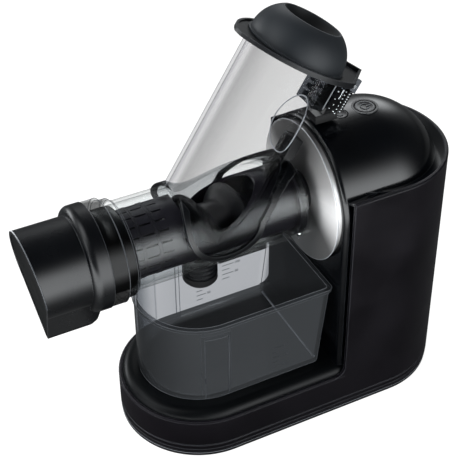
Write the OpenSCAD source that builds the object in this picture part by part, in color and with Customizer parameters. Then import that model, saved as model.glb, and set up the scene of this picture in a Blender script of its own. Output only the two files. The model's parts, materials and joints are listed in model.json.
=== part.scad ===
// Cold press juicer: a racetrack base with a tall drive tower, a horizontal
// pressing drum with a leaning feed tube, a juice jug on the deck and a pulp cap.
// X runs from the pulp cap to the tower, Z is up, and Y = 0 is the plane of symmetry.
// The origin is on the floor, below the middle of the overall length.

/* [Casing] */
// Width of the outer casing
body_w = 136; // [126:1:150]
// Length of the outer casing
body_l = 286; // [262:1:310]
// Wall of the outer casing
casing_wall = 3; // [2:0.5:4]
// Height of the casing's rim round the deck
low_rim_h = 39; // [34:1:46]
// Height of the casing's rim round the tower
high_rim_h = 218; // [204:1:226]
// Gap between the floor and the casing
floor_gap = 4; // [3:0.5:6]
// Chamfer on the casing's rims
rim_chamfer = 1.2; // [0.6:0.1:2]
// Fillet where the tower's front edge meets the low rim
rim_fillet = 9; // [4:1:14]
// How far the casing's front edge stands behind the tower's face
casing_setback = 4.5; // [3:0.5:8]
// Height of the ledge that carries the deck, below the low rim
ledge_drop = 7; // [5:0.5:10]
// Width of that ledge
ledge_w = 3; // [2:0.5:4]

/* [Tower] */
// Length of the tower, from its face to the casing's rear
tower_l = 120; // [112:1:132]
// Distance from the casing's side in to the tower cover's side
cover_inset = 6.5; // [6.5:0.5:9]
// Wall of the tower cover and the front panel
cover_wall = 3; // [2:0.5:4]
// Height of the dome's axis above the drum's axis
dome_lift = 1; // [0:0.5:3]
// Round on the tower's front edges
face_round = 4; // [3:0.5:6]
// Height of the joint between front panel and cover
seam_h = 214; // [205:1:222]
// Width of the joint between front panel and cover
seam_w = 0.3; // [0.2:0.1:0.6]

/* [Deck] */
// Height of the deck that the jug stands on
deck_h = 46; // [42:1:50]
// Thickness of the deck
deck_t = 3; // [2:0.5:4]
// Width of the deck's rounded shoulder
shoulder_w = 9; // [6:0.5:12]

/* [Drum] */
// Height of the drum's axis
axis_h = 191; // [186:1:196]
// Outer radius of the drum
drum_r = 35.5; // [34:0.5:37]
// Wall of the drum
drum_wall = 2.5; // [2:0.25:3]
// Length of the drum from its front collar to its rear flange
drum_l = 165.5; // [155:1:175]
// Gap between the drum's rear flange and the tower's face
drive_gap = 16.5; // [15:0.5:18]
// Outer radius of the front collar
collar_r = 41; // [40:0.5:42]
// Length of the front collar
collar_l = 22; // [16:1:26]
// Length of the collar's raised front band
band_l = 13; // [10:1:15]
// Length of the spigot in front of the collar
spigot_l = 10; // [8:0.5:12]
// Radius of the rear flange
flange_r = 36.5; // [36.5:0.25:38]
// Thickness of the rear flange
flange_t = 4; // [3:0.5:6]

/* [Pulp cap] */
// Length of the cap at its top
cap_l = 56; // [52:1:62]
// Outer radius of the cap's nose
nose_r = 35.3; // [34.5:0.1:36.5]
// Outer radius of the cap's skirt
skirt_r = 41.6; // [41.6:0.1:43]
// Length of the cap's skirt
skirt_l = 15; // [14:0.5:18]
// Wall of the cap
cap_wall = 2.5; // [2:0.25:3]
// Lean of the cap's end face, in degrees
face_lean = 7; // [4:0.5:9]
// Depth of the chute's tip below the drum's axis
chute_drop = 66; // [60:1:68]
// Round on the chute's tip
chute_tip_r = 4; // [3:0.5:5]
// Length of the pulp outlet in the chute
outlet_l = 24; // [20:1:26]
// Width of the pulp outlet in the chute
outlet_w = 5.6; // [5:0.2:6]

/* [Strainer and auger] */
// Outer radius of the strainer
strainer_r = 27.5; // [27:0.25:28.5]
// Wall of the strainer
strainer_wall = 1.5; // [1.2:0.1:1.8]
// Width of a strainer slot
slot_w = 1.6; // [1.2:0.1:2]
// Length of a strainer slot
slot_l = 9; // [7:0.5:10]
// Outer radius of the auger's flight
auger_r = 25.2; // [24.4:0.2:25.4]
// Radius of the auger's core at its rear end
core_rear_r = 11.5; // [10.5:0.5:13]
// Radius of the auger's core at its front end
core_front_r = 20; // [17:0.5:21]
// Lead of the auger's flight
auger_lead = 34; // [30:1:38]

/* [Feed tube] */
// Inner radius of the feed tube
tube_bore_r = 32.5; // [31:0.25:33]
// Wall of the feed tube
tube_wall = 2.5; // [2:0.25:3]
// Lean of the feed tube from the vertical, in degrees
tube_lean = 32; // [30:0.5:34]
// Length of the feed tube along its axis, from the drum's axis
tube_l = 154; // [146:1:158]
// How far the feed tube meets the drum's axis in front of the tower's face
tube_foot = 99; // [97:0.5:103]
// Height of the round end of the saddle, along the tube
saddle_rise = 22.5; // [20:0.5:26]
// Inner half width of the saddle below the tube
saddle_half_w = 28; // [25:0.5:29]
// Width of the black band round the saddle
saddle_band = 4.5; // [3:0.25:5]

/* [Tray and pusher] */
// Half width of the tray
tray_half_w = 44.5; // [43.5:0.5:47]
// Half length of the tray
tray_half_l = 62; // [59:0.5:64]
// How far the tray's middle lies behind the tube's axis
tray_shift = 9.5; // [7:0.5:11]
// Thickness of the tray's floor
tray_t = 2; // [1.5:0.25:3]
// Height of the tray's lip
tray_lip = 0.8; // [0.5:0.1:3]
// Extra height of the lip at the tray's rear tip
tray_rise = 2.5; // [0:0.5:5]
// Radius of the pusher's bell at its base
bell_r = 38.2; // [37:0.2:39]
// Height of the pusher's bell
bell_h = 26; // [24:0.5:27]
// How far the bell's middle lies behind the tube's axis
bell_shift = 4; // [0:0.5:4.5]
// Radius of the bell's side curve
bell_arc_r = 27.5; // [26:0.5:30]
// Length of the pusher's locating rim inside the tube
plug_l = 3; // [2:0.5:20]

/* [Jug] */
// Distance from the casing's side in to the jug's side
jug_inset = 16.5; // [15.5:0.5:20]
// Gap between the jug's rim and the drip nozzle above it
jug_nozzle_gap = 5.5; // [4:0.5:12]
// Wall of the jug
jug_wall = 2.2; // [1.8:0.1:2.6]
// Gap between the jug's rim and the tower's face
jug_gap = 1.5; // [1:0.25:4]
// Lean of the jug's flat end, in degrees
jug_lean = 6.5; // [4:0.5:8]
// Round on the jug's bottom edge
jug_round = 6; // [4:0.5:9]
// Width of the grip flute
flute_w = 20; // [16:1:24]
// Distance from the jug's rim down to the grip flute
flute_drop = 12; // [8:1:24]
// Depth of the grip flute
flute_d = 3.5; // [2.5:0.25:4.5]

/* [Controls] */
// Radius of the power button
power_r = 8.5; // [7.5:0.5:9.5]
// Radius of the reverse button
reverse_r = 6.3; // [5:0.1:6.8]
// Travel of both buttons
button_travel = 2; // [1:0.25:2.5]
// Distance between the two buttons
button_pitch = 22.5; // [22:0.5:26]
// Clearance round a button
button_gap = 0.4; // [0.3:0.05:0.6]

/* [Drive] */
// Distance from the tower cover's side in to the trim disc's edge
disc_inset = 3; // [3:0.5:5]
// Radius of the output shaft
shaft_r = 8; // [7.5:0.25:8.5]
// Width over flats of the drive hexagon
hex_w = 12; // [11:0.25:12.5]
// Module of the output gear stage
module_out = 1.5; // [1.5:0.05:1.6]
// Teeth on the output gear
teeth_out = 56; // [54:2:58]
// Teeth on the idler's small gear
teeth_small = 14; // [14:1:15]
// Module of the motor gear stage
module_in = 1.25; // [1.2:0.05:1.3]
// Teeth on the idler's large gear
teeth_large = 48; // [46:1:50]
// Teeth on the motor pinion
teeth_pinion = 12; // [12:1:13]
// Face width of the gears
gear_w = 9; // [7:0.5:10]
// Radius of the motor can
motor_r = 33; // [30:0.5:34]
// Length of the motor can
motor_l = 48; // [40:1:50]

/* [Feet and fasteners] */
// Radius of a rubber foot
foot_r = 9; // [7:0.5:11]
// Radius of a base screw's head
screw_head_r = 3; // [2.5:0.25:3.5]
// Clearance between pieces that fit into each other
fit = 0.2; // [0.1:0.05:0.3]
// Radial clearance of a shaft in its bearing
run = 0.05; // [0.03:0.01:0.08]

/* [Hidden] */
$fn = 96;
eps = 0.01;

// Places along X, worked out from the overall length
total_l = tower_l + drive_gap + drum_l + cap_l;
rear_x = total_l / 2;
face_x = rear_x - tower_l;
drum_rear_x = face_x - drive_gap;
drum_front_x = drum_rear_x - drum_l;
cap_x = drum_front_x - cap_l;
body_r = body_w / 2;
cover_r = body_r - cover_inset;
disc_r = cover_r - disc_inset;
round_rear_x = rear_x - body_r;
round_front_x = rear_x - body_l + body_r;
casing_edge_x = face_x + casing_setback;
tube_foot_x = face_x - tube_foot;
power_x = round_rear_x - 1;
reverse_x = power_x - button_pitch;

// Casing, deck and tower
groove_d = 0.9;
groove_h = 1;
plinth_groove_z = floor_gap + 3.2;
band_groove_z = floor_gap + 8.4;
inner_r = body_r - casing_wall;
ledge_z = low_rim_h - ledge_drop;
ledge_r = inner_r - ledge_w;
plate_z = floor_gap + 1;
plate_t = 3;
deck_r = inner_r - fit;
dome_z = axis_h + dome_lift;
crown_z = dome_z + cover_r;
inside_x = face_x + cover_wall;
panel_depth = face_round;

// Drum, tube and pusher
drum_bore_r = drum_r - drum_wall;
spigot_r = collar_r - 3.5;
tube_r = tube_bore_r + tube_wall;
saddle_t = 2.2;
spout_x = tube_foot_x + 4;
spout_r = 14.2;
spout_bore_r = 8;
nozzle_z = axis_h - drum_r - 24;
plug_r = tube_bore_r - 0.8;
tray_z = tube_l + tray_t;
spine_u = tube_r + 15;

// Gear train: the idler stands below the output shaft, the motor below the idler
r_out = module_out * teeth_out / 2;
r_small = module_out * teeth_small / 2;
r_large = module_in * teeth_large / 2;
r_pinion = module_in * teeth_pinion / 2;
idler_z = axis_h - r_out - r_small;
motor_z = idler_z - r_large - r_pinion;
plate_front_x = inside_x + 2;
gear_plate_t = 4;
gear_x1 = plate_front_x + gear_plate_t + 6;
gear_x2 = gear_x1 + gear_w + 3;
plate_rear_x = gear_x2 + gear_w + 3;
motor_x = plate_rear_x + gear_plate_t;
boss_r = 17;
bearing_r = 15;
idler_r = 4;
motor_shaft_r = 3;

// A half profile (x = distance from the centre line, y = height) swept round a
// racetrack whose end rounds are centred at x1 and x2
module racetrack(x1, x2) {
    for (x = [x1, x2]) translate([x, 0, 0]) rotate_extrude() children();
    translate([x1, 0, 0]) rotate([90, 0, 90]) linear_extrude(x2 - x1) {
        children();
        mirror([1, 0]) children();
    }
}

// A plain racetrack solid
module racetrack_block(x1, x2, r, z1, z2) {
    translate([0, 0, z1]) linear_extrude(z2 - z1) racetrack_2d(x1, x2, r);
}

module racetrack_2d(x1, x2, r) {
    for (x = [x1, x2]) translate([x, 0]) circle(r);
    translate([x1, -r]) square([x2 - x1, 2 * r]);
}

// A cylinder along +X
module x_cyl(x, r, l, z = axis_h, y = 0) {
    translate([x, y, z]) rotate([0, 90, 0]) cylinder(r = r, h = l);
}

// A half profile (x = radius, y = distance along X) turned about the X axis
module x_turned(z = axis_h) {
    translate([0, 0, z]) rotate([0, 90, 0]) rotate_extrude() children();
}

// Children in the feed tube's frame: +Z along the tube, +X towards the tower
module in_tube_frame() {
    translate([tube_foot_x, 0, axis_h]) rotate([0, tube_lean, 0]) children();
}

// Half a round-ended square: the outline of a disc's edge profile
module rounded_2d(w, h, r) {
    for (x = [r, w - r], y = [r, h - r]) translate([x, y]) circle(r);
    translate([r, 0]) square([w - 2 * r, h]);
    translate([0, r]) square([w, h - 2 * r]);
}

// ---- Casing -------------------------------------------------------------

module casing_profile(h) {
    difference() {
        polygon([[0, floor_gap], [body_r - 1.5, floor_gap], [body_r - 0.5, floor_gap + 1],
                 [body_r - 0.5, plinth_groove_z], [body_r, plinth_groove_z],
                 [body_r, h - rim_chamfer], [body_r - rim_chamfer, h], [0, h]]);
        for (z = [plinth_groove_z, band_groove_z])
            translate([body_r - groove_d, z]) square([groove_d + 1, groove_h]);
    }
}

module outer_casing() {
    color("#17181a")
    difference() {
        union() {
            racetrack(round_front_x, round_rear_x) casing_profile(low_rim_h);
            difference() {
                racetrack(casing_edge_x, round_rear_x) casing_profile(high_rim_h);
                translate([casing_edge_x - 2 * body_r, -body_r - 1, 0])
                    cube([2 * body_r, body_w + 2, high_rim_h + 1]);
            }
            edge_fillet();
        }
        racetrack_block(round_front_x, round_rear_x, inner_r, ledge_z, high_rim_h + 1);
        racetrack_block(round_front_x, round_rear_x, ledge_r, 0, ledge_z + 1);
        cord_hole(gland_r);
    }
}

// Quarter-round web that joins the tower's front edge to the low rim
module edge_fillet() {
    difference() {
        translate([casing_edge_x - rim_fillet, -body_r, low_rim_h - 1])
            cube([rim_fillet + 1, body_w, rim_fillet + 1]);
        translate([casing_edge_x - rim_fillet, -body_r - 1, low_rim_h + rim_fillet])
            rotate([-90, 0, 0]) cylinder(r = rim_fillet, h = body_w + 2);
    }
}

gland_r = 6.5;
gland_bore_r = 3.5;
gland_z = 19;

module cord_hole(r) {
    x_cyl(rear_x - 14, r, 15, gland_z);
}

module cord_gland() {
    color("#101010")
    difference() {
        union() {
            x_cyl(rear_x - 12, gland_r, 11.4, gland_z);
            x_cyl(rear_x - 10, gland_r + 2, 3, gland_z);
        }
        x_cyl(rear_x - 14, gland_bore_r, 15, gland_z);
    }
}

module base_plate() {
    color("#141414")
    difference() {
        racetrack_block(round_front_x, round_rear_x, ledge_r, plate_z, plate_z + plate_t);
        vent_slots();
        for (p = screw_places) translate([p[0], p[1], plate_z - 1])
            cylinder(r = screw_head_r + 0.3, h = plate_t - 0.5);
    }
}

vent_pitch = 7;
module vent_slots() {
    for (i = [-4 : 4]) translate([round_rear_x - 12 + i * vent_pitch, -20, plate_z - 1])
        cube([3, 40, plate_t + 2]);
}

foot_inset = 16;
feet_places = [for (x = [round_front_x - 20, round_rear_x + 20], s = [-1, 1])
               [x, s * (body_r - foot_inset - 14)]];
screw_places = [for (x = [round_front_x, round_rear_x], s = [-1, 1]) [x, s * (ledge_r - 8)]];

module rubber_feet() {
    color("#0d0d0d")
    for (p = feet_places) translate([p[0], p[1], 0]) {
        cylinder(r1 = foot_r - 1, r2 = foot_r, h = 1);
        translate([0, 0, 1]) cylinder(r = foot_r, h = plate_z - 1);
    }
}

module base_screws() {
    color("#8a8d90")
    for (p = screw_places) translate([p[0], p[1], plate_z]) {
        difference() {
            cylinder(r = screw_head_r, h = plate_t - 1.5);
            translate([0, 0, -eps]) cylinder(r = 1.2, h = 0.8, $fn = 6);
        }
    }
}

module deck_profile() {
    intersection() {
        union() {
            square([deck_r - shoulder_w, deck_h]);
            translate([deck_r - shoulder_w, deck_h - shoulder_w]) circle(shoulder_w);
            square([deck_r, deck_h - shoulder_w]);
        }
        translate([0, ledge_z]) square([deck_r, deck_h - ledge_z]);
    }
}

module deck() {
    color("#08090a")
    difference() {
        racetrack(round_front_x, round_rear_x) deck_profile();
        racetrack_block(round_front_x, round_rear_x, deck_r - shoulder_w + 1,
                        ledge_z - 1, deck_h - deck_t);
        // cooling air rises to the motor
        for (i = [-2 : 2]) translate([motor_x + 20 + i * 8, -15, deck_h - deck_t - 1])
            cube([4, 30, deck_t + 2]);
    }
}

// ---- Tower --------------------------------------------------------------

// The tower's outer form less d all over: a dome on straight walls
module tower_form(d, z1) {
    r = cover_r - d;
    fr = max(face_round - d, 0.5);
    x1 = face_x + d;
    straight = round_rear_x - x1;
    intersection() {
        union() {
            translate([x1, 0, dome_z]) rotate([0, 90, 0]) rotate_extrude() intersection() {
                translate([-r, 0]) rounded_2d(2 * r, straight + 2 * r, fr);
                square([r, straight]);
            }
            translate([round_rear_x, 0, dome_z]) sphere(r);
        }
        translate([x1, -r - 1, z1]) cube([body_l, 2 * r + 2, crown_z]);
    }
    translate([x1, 0, z1]) linear_extrude(dome_z - z1) intersection() {
        union() {
            translate([0, -r]) rounded_2d(straight + r, 2 * r, fr);
            translate([straight, 0]) circle(r);
        }
        union() {
            translate([0, -r]) square([straight, 2 * r]);
            translate([straight, 0]) intersection() {
                circle(r);
                translate([0, -r]) square([r, 2 * r]);
            }
        }
    }
}

module tower_shell() {
    difference() {
        tower_form(0, deck_h);
        tower_form(cover_wall, deck_h - 1);
        x_cyl(face_x - 1, disc_r - 4, cover_wall + 3);
    }
}

// The zone of the shell that belongs to the front panel
module panel_zone(gap) {
    translate([face_x - 1, -body_r, deck_h - 1])
        cube([panel_depth + 1 - gap, body_w, seam_h - deck_h + 1 - gap]);
}

module front_panel() {
    color("#0a0b0c")
    intersection() {
        tower_shell();
        panel_zone(seam_w);
    }
}

// Funnel that runs from the dome out to the casing's rim
flare_drop = 5;
flare_t = 2;
module cover_flare() {
    r1 = sqrt(pow(cover_r, 2) - pow(high_rim_h - flare_drop - dome_z, 2)) - 1;
    z1 = high_rim_h - flare_drop;
    z2 = high_rim_h - 0.8;
    x1 = casing_edge_x + fit;
    difference() {
        racetrack(x1, round_rear_x)
            polygon([[0, z1], [r1, z1], [inner_r - fit, z2], [inner_r - fit, z2 - flare_t],
                     [r1, z1 - flare_t], [0, z1 - flare_t]]);
        translate([x1 - 2 * body_r, -body_r, 0]) cube([2 * body_r, body_w, crown_z]);
        tower_form(cover_wall / 2, deck_h);
    }
}

module tower_cover() {
    color("#0b0c0e")
    difference() {
        union() {
            difference() {
                tower_shell();
                panel_zone(0);
            }
            board_posts();
            cover_flare();
        }
        translate([power_x, 0, crown_z - 8]) cylinder(r = bezel_r, h = 10);
        translate([reverse_x, 0, crown_z - 8]) cylinder(r = reverse_r + button_gap, h = 10);
    }
}

// Spun disc that stands off the panel on a ring
disc_t = 1.5;
disc_stand = 5;
disc_x = face_x - disc_stand;
module trim_disc() {
    color("#c9cbcc")
    difference() {
        x_turned() polygon([[boss_r + fit, disc_x], [disc_r - 0.5, disc_x], [disc_r, disc_x + 0.4],
                            [disc_r, disc_x + 0.9], [disc_r - 2, disc_x + disc_t],
                            [disc_r - 2, face_x], [disc_r - 6, face_x],
                            [disc_r - 6, disc_x + disc_t], [boss_r + fit, disc_x + disc_t]]);
        translate([0, stud_y, 0]) {
            x_cyl(disc_x - 5, stud_r, 20, stud_z);
            translate([stud_x, 0, stud_z]) sphere(stud_ball_r + 0.05);
        }
    }
}

stud_r = 1.8;
stud_ball_r = 2.9;
stud_x = disc_x - 2.5;
stud_y = -5;
stud_z = axis_h - drum_r - 4;
module locking_stud() {
    color("#e6e8ea") translate([0, stud_y, 0]) {
        x_cyl(stud_x, stud_r - 0.02, 7, stud_z);
        translate([stud_x, 0, stud_z]) sphere(stud_ball_r);
    }
}

// ---- Drive --------------------------------------------------------------

module bearing_boss() {
    color("#151515")
    difference() {
        union() {
            x_cyl(drum_rear_x + 2, boss_r, plate_front_x - drum_rear_x - 2);
            x_cyl(inside_x, disc_r - 10, plate_front_x - inside_x);
        }
        x_cyl(drum_rear_x, shaft_r + 2, 30);
    }
}

module ring_bearing(x, l) {
    difference() {
        x_cyl(x, bearing_r, l);
        x_cyl(x - 1, shaft_r + run, l + 2);
        x_turned() translate([(bearing_r + shaft_r) / 2, x]) circle(1.2, $fn = 24);
    }
}

module front_bearing() { color("#9fa3a6") ring_bearing(plate_front_x, gear_plate_t); }
module rear_bearing() { color("#9fa3a6") ring_bearing(plate_rear_x, gear_plate_t); }

plate_half_w = cover_r - 25.5;
pillar_places = [for (s = [-1, 1]) each [[s * (plate_half_w - 6), deck_h + 14],
                                         [s * (cover_r - 17.5), axis_h + 25]]];
pillar_r = 4;

module gear_plate(x) {
    difference() {
        translate([x, 0, 0]) rotate([90, 0, 90]) linear_extrude(gear_plate_t) {
            translate([-plate_half_w, deck_h]) square([2 * plate_half_w, axis_h - deck_h]);
            intersection() {
                translate([0, axis_h]) circle(cover_r - 7.5);
                translate([-cover_r, 0]) square([2 * cover_r, board_z - 1.5]);
            }
        }
        x_cyl(x - 1, bearing_r, gear_plate_t + 2);
        x_cyl(x - 1, idler_r + run, gear_plate_t + 2, idler_z);
    }
}

module gear_plate_front() {
    color("#b4b7ba") gear_plate(plate_front_x);
}

module gear_plate_rear() {
    color("#b4b7ba")
    difference() {
        gear_plate(plate_rear_x);
        x_cyl(plate_rear_x - 1, motor_shaft_r + 3, gear_plate_t + 2, motor_z);
    }
}

module gear_pillars() {
    color("#8f9295")
    for (p = pillar_places)
        x_cyl(plate_front_x + gear_plate_t, pillar_r,
              plate_rear_x - plate_front_x - gear_plate_t, p[1], p[0]);
}

// Involute gear tooth form, thinned for running backlash
function inv_pt(rb, a) = [rb * (cos(a) + a * PI / 180 * sin(a)),
                          rb * (sin(a) - a * PI / 180 * cos(a))];
function inv_angle(rb, r) = sqrt(max(0, (r / rb) * (r / rb) - 1)) * 180 / PI;
function turn(p, a) = [p[0] * cos(a) - p[1] * sin(a), p[0] * sin(a) + p[1] * cos(a)];

pressure = 20;
flank_steps = 4;
backlash = 0.24;

module gear_2d(m, teeth) {
    r = m * teeth / 2;
    rb = r * cos(pressure);
    ra = r + 0.9 * m;
    rf = r - 1.2 * m;
    a_pitch = inv_angle(rb, r);
    p_pitch = inv_pt(rb, a_pitch);
    half = 90 / teeth - backlash / r * 90 / PI + atan2(p_pitch[1], p_pitch[0]);
    r_low = max(rb, rf);
    a_top = inv_angle(rb, ra);
    a_low = inv_angle(rb, r_low);
    flank = [for (i = [0 : flank_steps])
             turn(inv_pt(rb, a_low + (a_top - a_low) * i / flank_steps), -half)];
    mirrored = [for (i = [flank_steps : -1 : 0]) [flank[i][0], -flank[i][1]]];
    root_a = atan2(flank[0][1], flank[0][0]);
    tooth = concat([[rf * cos(root_a), rf * sin(root_a)]], flank, mirrored,
                   [[rf * cos(root_a), -rf * sin(root_a)]]);
    polygon([for (k = [0 : teeth - 1], p = tooth) turn(p, k * 360 / teeth)]);
}

// A spur gear whose first tooth points along -Z, turned by phase
module spur_gear(x, z, m, teeth, w, bore, phase) {
    difference() {
        translate([x, 0, z]) rotate([0, 90, 0]) linear_extrude(w)
            rotate(phase) gear_2d(m, teeth);
        x_cyl(x - 1, bore, w + 2, z);
    }
}

module output_gear() {
    color("#d8d2c0")
    difference() {
        spur_gear(gear_x1, axis_h, module_out, teeth_out, gear_w, shaft_r, 0);
        difference() {
            x_cyl(gear_x1 - 1, r_out - 6, 4);
            x_cyl(gear_x1 - 2, shaft_r + 7, 6);
        }
    }
}

module idler_gear() {
    color("#cfc8b4") {
        spur_gear(gear_x1, idler_z, module_out, teeth_small, gear_x2 - gear_x1, idler_r - 1,
                  180 + 180 / teeth_small);
        spur_gear(gear_x2, idler_z, module_in, teeth_large, gear_w, idler_r - 1, 0);
        x_cyl(plate_front_x, idler_r, gear_x1 - plate_front_x, idler_z);
        x_cyl(gear_x1, idler_r - 1, gear_x2 + gear_w - gear_x1, idler_z);
        x_cyl(gear_x2 + gear_w, idler_r, plate_rear_x + gear_plate_t - gear_x2 - gear_w, idler_z);
    }
}

module motor_pinion() {
    color("#a8aaac")
    spur_gear(gear_x2, motor_z, module_in, teeth_pinion, gear_w, motor_shaft_r,
              180 + 180 / teeth_pinion);
}

fan_x = motor_x + motor_l + 3;
fan_r = motor_r - 7;
fan_w = 5;
rotor_r = motor_r - 12;
rotor_end = 10;
can_wall = 3;
module motor_rotor() {
    color("#8c4b2a") {
        x_cyl(gear_x2 - 1, motor_shaft_r, fan_x + fan_w + 2 - gear_x2 + 1, motor_z);
        x_cyl(motor_x + rotor_end, rotor_r, motor_l - 2 * rotor_end, motor_z);
    }
}

module motor_can() {
    color("#77797c")
    difference() {
        x_cyl(motor_x, motor_r, motor_l, motor_z);
        x_cyl(motor_x + can_wall, motor_r - can_wall, motor_l - 2 * can_wall, motor_z);
        x_cyl(motor_x - 1, motor_shaft_r + run, motor_l + 2, motor_z);
        for (a = [0 : 60 : 300]) translate([motor_x + motor_l - can_wall - 1, 0, motor_z])
            rotate([a, 0, 0]) translate([0, -3, motor_r * 0.36])
                cube([can_wall + 2, 6, motor_r * 0.36]);
    }
}

module cooling_fan() {
    color("#202225")
    difference() {
        union() {
            x_cyl(fan_x, motor_shaft_r + 6, fan_w - 0.5, motor_z);
            for (a = [0 : 40 : 320]) translate([fan_x + 0.5, 0, motor_z])
                rotate([a, 0, 0]) translate([0, -1, motor_shaft_r + 3])
                    cube([fan_w - 1, 2, fan_r - motor_shaft_r - 5]);
            x_cyl(fan_x + fan_w - 1, fan_r, 1.2, motor_z);
        }
        x_cyl(fan_x - 1, motor_shaft_r, fan_w + 3, motor_z);
    }
}

module drive_shaft() {
    color("#c2c5c8") {
        x_cyl(drum_rear_x - 1, shaft_r, plate_rear_x + gear_plate_t - drum_rear_x + 1);
        translate([drum_rear_x - 14, 0, axis_h]) rotate([0, 90, 0])
            cylinder(d = hex_w / cos(30), h = 13, $fn = 6);
    }
}

// ---- Controls -----------------------------------------------------------

bezel_r = power_r + 2.2;
stem_drop = 9;
board_z = crown_z - stem_drop - button_travel - 5;
board_t = 1.6;
board_w = 40;
board_x1 = reverse_x - 14;
board_l = button_pitch + 30;
post_places = [for (x = [board_x1 + 5, board_x1 + board_l - 5], s = [-1, 1]) [x, s * 15]];

module button_bezel() {
    color("#3a3d40")
    difference() {
        translate([power_x, 0, crown_z - cover_wall - 1]) cylinder(r = bezel_r - 0.02, h = cover_wall + 1);
        translate([power_x, 0, crown_z - 10]) cylinder(r = power_r + button_gap, h = 20);
    }
}

module round_button(x, r) {
    difference() {
        union() {
            translate([x, 0, crown_z - stem_drop]) cylinder(r = r, h = stem_drop - 0.6);
            translate([x, 0, crown_z - 0.6]) cylinder(r1 = r, r2 = r - 0.6, h = 0.6);
        }
        // shallow finger dish
        translate([x, 0, crown_z + r * 5 - 0.5]) sphere(r * 5);
    }
}

module power_button() { color("#1d1f22") round_button(power_x, power_r); }
module reverse_button() { color("#1d1f22") round_button(reverse_x, reverse_r); }

module switch_board() {
    color("#1f5a34")
    difference() {
        union() {
            translate([board_x1, -board_w / 2, board_z]) cube([board_l, board_w, board_t]);
            for (x = [power_x, reverse_x]) translate([x - 3, -3, board_z + board_t])
                cube([6, 6, 5 - board_t - 0.3]);
        }
        for (p = post_places) translate([p[0], p[1], board_z - 1]) cylinder(r = 1.5, h = 4);
    }
}

// Posts under the dome that carry the switch board
module board_posts() {
    intersection() {
        for (p = post_places) translate([p[0], p[1], board_z + board_t])
            cylinder(r = 4, h = crown_z - board_z);
        tower_form(cover_wall / 2, deck_h);
    }
}

// ---- Drum ---------------------------------------------------------------

// The bore that the tube opens into the drum's upper side
module tube_bore() {
    in_tube_frame() cylinder(r = tube_bore_r, h = tube_l + 20);
}

module drum() {
    color([0.16, 0.17, 0.19, 0.45])
    difference() {
        union() {
            x_cyl(drum_front_x, drum_r, drum_l);
            x_turned() polygon([[0, drum_front_x], [collar_r, drum_front_x],
                                [collar_r, drum_front_x + band_l - 1], [collar_r - 2, drum_front_x + band_l],
                                [collar_r - 2.6, drum_front_x + collar_l - 2],
                                [collar_r - 4.4, drum_front_x + collar_l], [0, drum_front_x + collar_l]]);
            x_cyl(drum_front_x - spigot_l, spigot_r, spigot_l + 1);
            x_cyl(drum_rear_x - flange_t, flange_r, flange_t);
        }
        x_cyl(drum_front_x - spigot_l - 1, drum_bore_r, drum_l + spigot_l + 2);
        tube_bore();
        translate([spout_x, 0, axis_h - drum_r - 2]) cylinder(r = spout_bore_r, h = drum_r);
    }
}

// Rear wall of the drum with the socket that slides over the bearing boss
module drum_hub() {
    color("#121314")
    difference() {
        union() {
            x_cyl(drum_rear_x - flange_t, drum_bore_r - 0.02, flange_t);
            x_cyl(drum_rear_x - eps, boss_r + 3, 8);
        }
        x_cyl(drum_rear_x, boss_r + 0.4, 10);
        x_cyl(drum_rear_x - 10, shaft_r + 3, 20);
    }
}

module shaft_seal() {
    color("#5c1f1c")
    difference() {
        x_cyl(drum_rear_x - flange_t + 0.5, shaft_r + 3, flange_t - 0.5);
        x_cyl(drum_rear_x - 10, shaft_r + 0.4, 20);
    }
}

strainer_x1 = drum_front_x - spigot_l + 2;
strainer_x2 = drum_rear_x - flange_t;
slot_rows = 5;
slot_count = 20;

module strainer() {
    color("#303236")
    difference() {
        union() {
            x_cyl(strainer_x1, strainer_r, strainer_x2 - strainer_x1);
            for (x = [strainer_x1, strainer_x2 - 2]) x_cyl(x, drum_bore_r - 0.05, 2);
        }
        x_cyl(strainer_x1 - 1, strainer_r - strainer_wall, strainer_x2 - strainer_x1 + 2);
        // open mouth below the feed tube
        in_tube_frame() cylinder(r = strainer_r + 1, h = tube_l);
        // slots in the juicing zone
        for (row = [0 : slot_rows - 1], k = [0 : slot_count - 1])
            translate([strainer_x1 + 5 + row * (slot_l + 3), 0, axis_h])
                rotate([(k + 0.5) * 360 / slot_count, 0, 0])
                    translate([0, -slot_w / 2, strainer_r - strainer_wall - 1])
                        cube([slot_l, slot_w, strainer_wall + 2]);
    }
}

module spout_sleeve() {
    color("#1b1c1e")
    difference() {
        union() {
            translate([spout_x, 0, nozzle_z + 10]) cylinder(r = spout_r - 1, h = drum_r);
            for (i = [0 : 2]) translate([spout_x, 0, nozzle_z + 11 + i * 4])
                cylinder(r = spout_r, h = 2);
        }
        x_cyl(drum_front_x, drum_r + 0.02, drum_l);
        translate([spout_x, 0, nozzle_z]) cylinder(r = spout_bore_r, h = drum_r);
    }
}

module drip_nozzle() {
    color("#0f1011")
    difference() {
        intersection() {
            translate([spout_x, 0, nozzle_z]) cylinder(r = spout_r, h = 10);
            translate([spout_x, 0, nozzle_z + 14]) sphere(17);
        }
        translate([spout_x, 0, nozzle_z - 1]) cylinder(r = spout_bore_r - 1, h = 20);
    }
}

// Rail under the drum, from the spout towards the tower
rail_half_w = 6;
rail_drop = 8.2;
rail_l = 42;
module drum_rail() {
    color("#111214")
    difference() {
        union() {
            translate([spout_x + spout_r + 0.3, -rail_half_w, axis_h - drum_r - rail_drop])
                cube([rail_l, 2 * rail_half_w, rail_drop + 8]);
            translate([spout_x + spout_r + rail_l, -rail_half_w + 1, axis_h - drum_r - 3.5])
                cube([16, 2 * rail_half_w - 2, 8]);
        }
        x_cyl(drum_front_x, drum_r + 0.02, drum_l);
        translate([spout_x + spout_r + rail_l / 3, -rail_half_w - 1, axis_h - drum_r - rail_drop + 2.5])
            cube([rail_l / 2, 2.2, 2.5]);
    }
}

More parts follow.
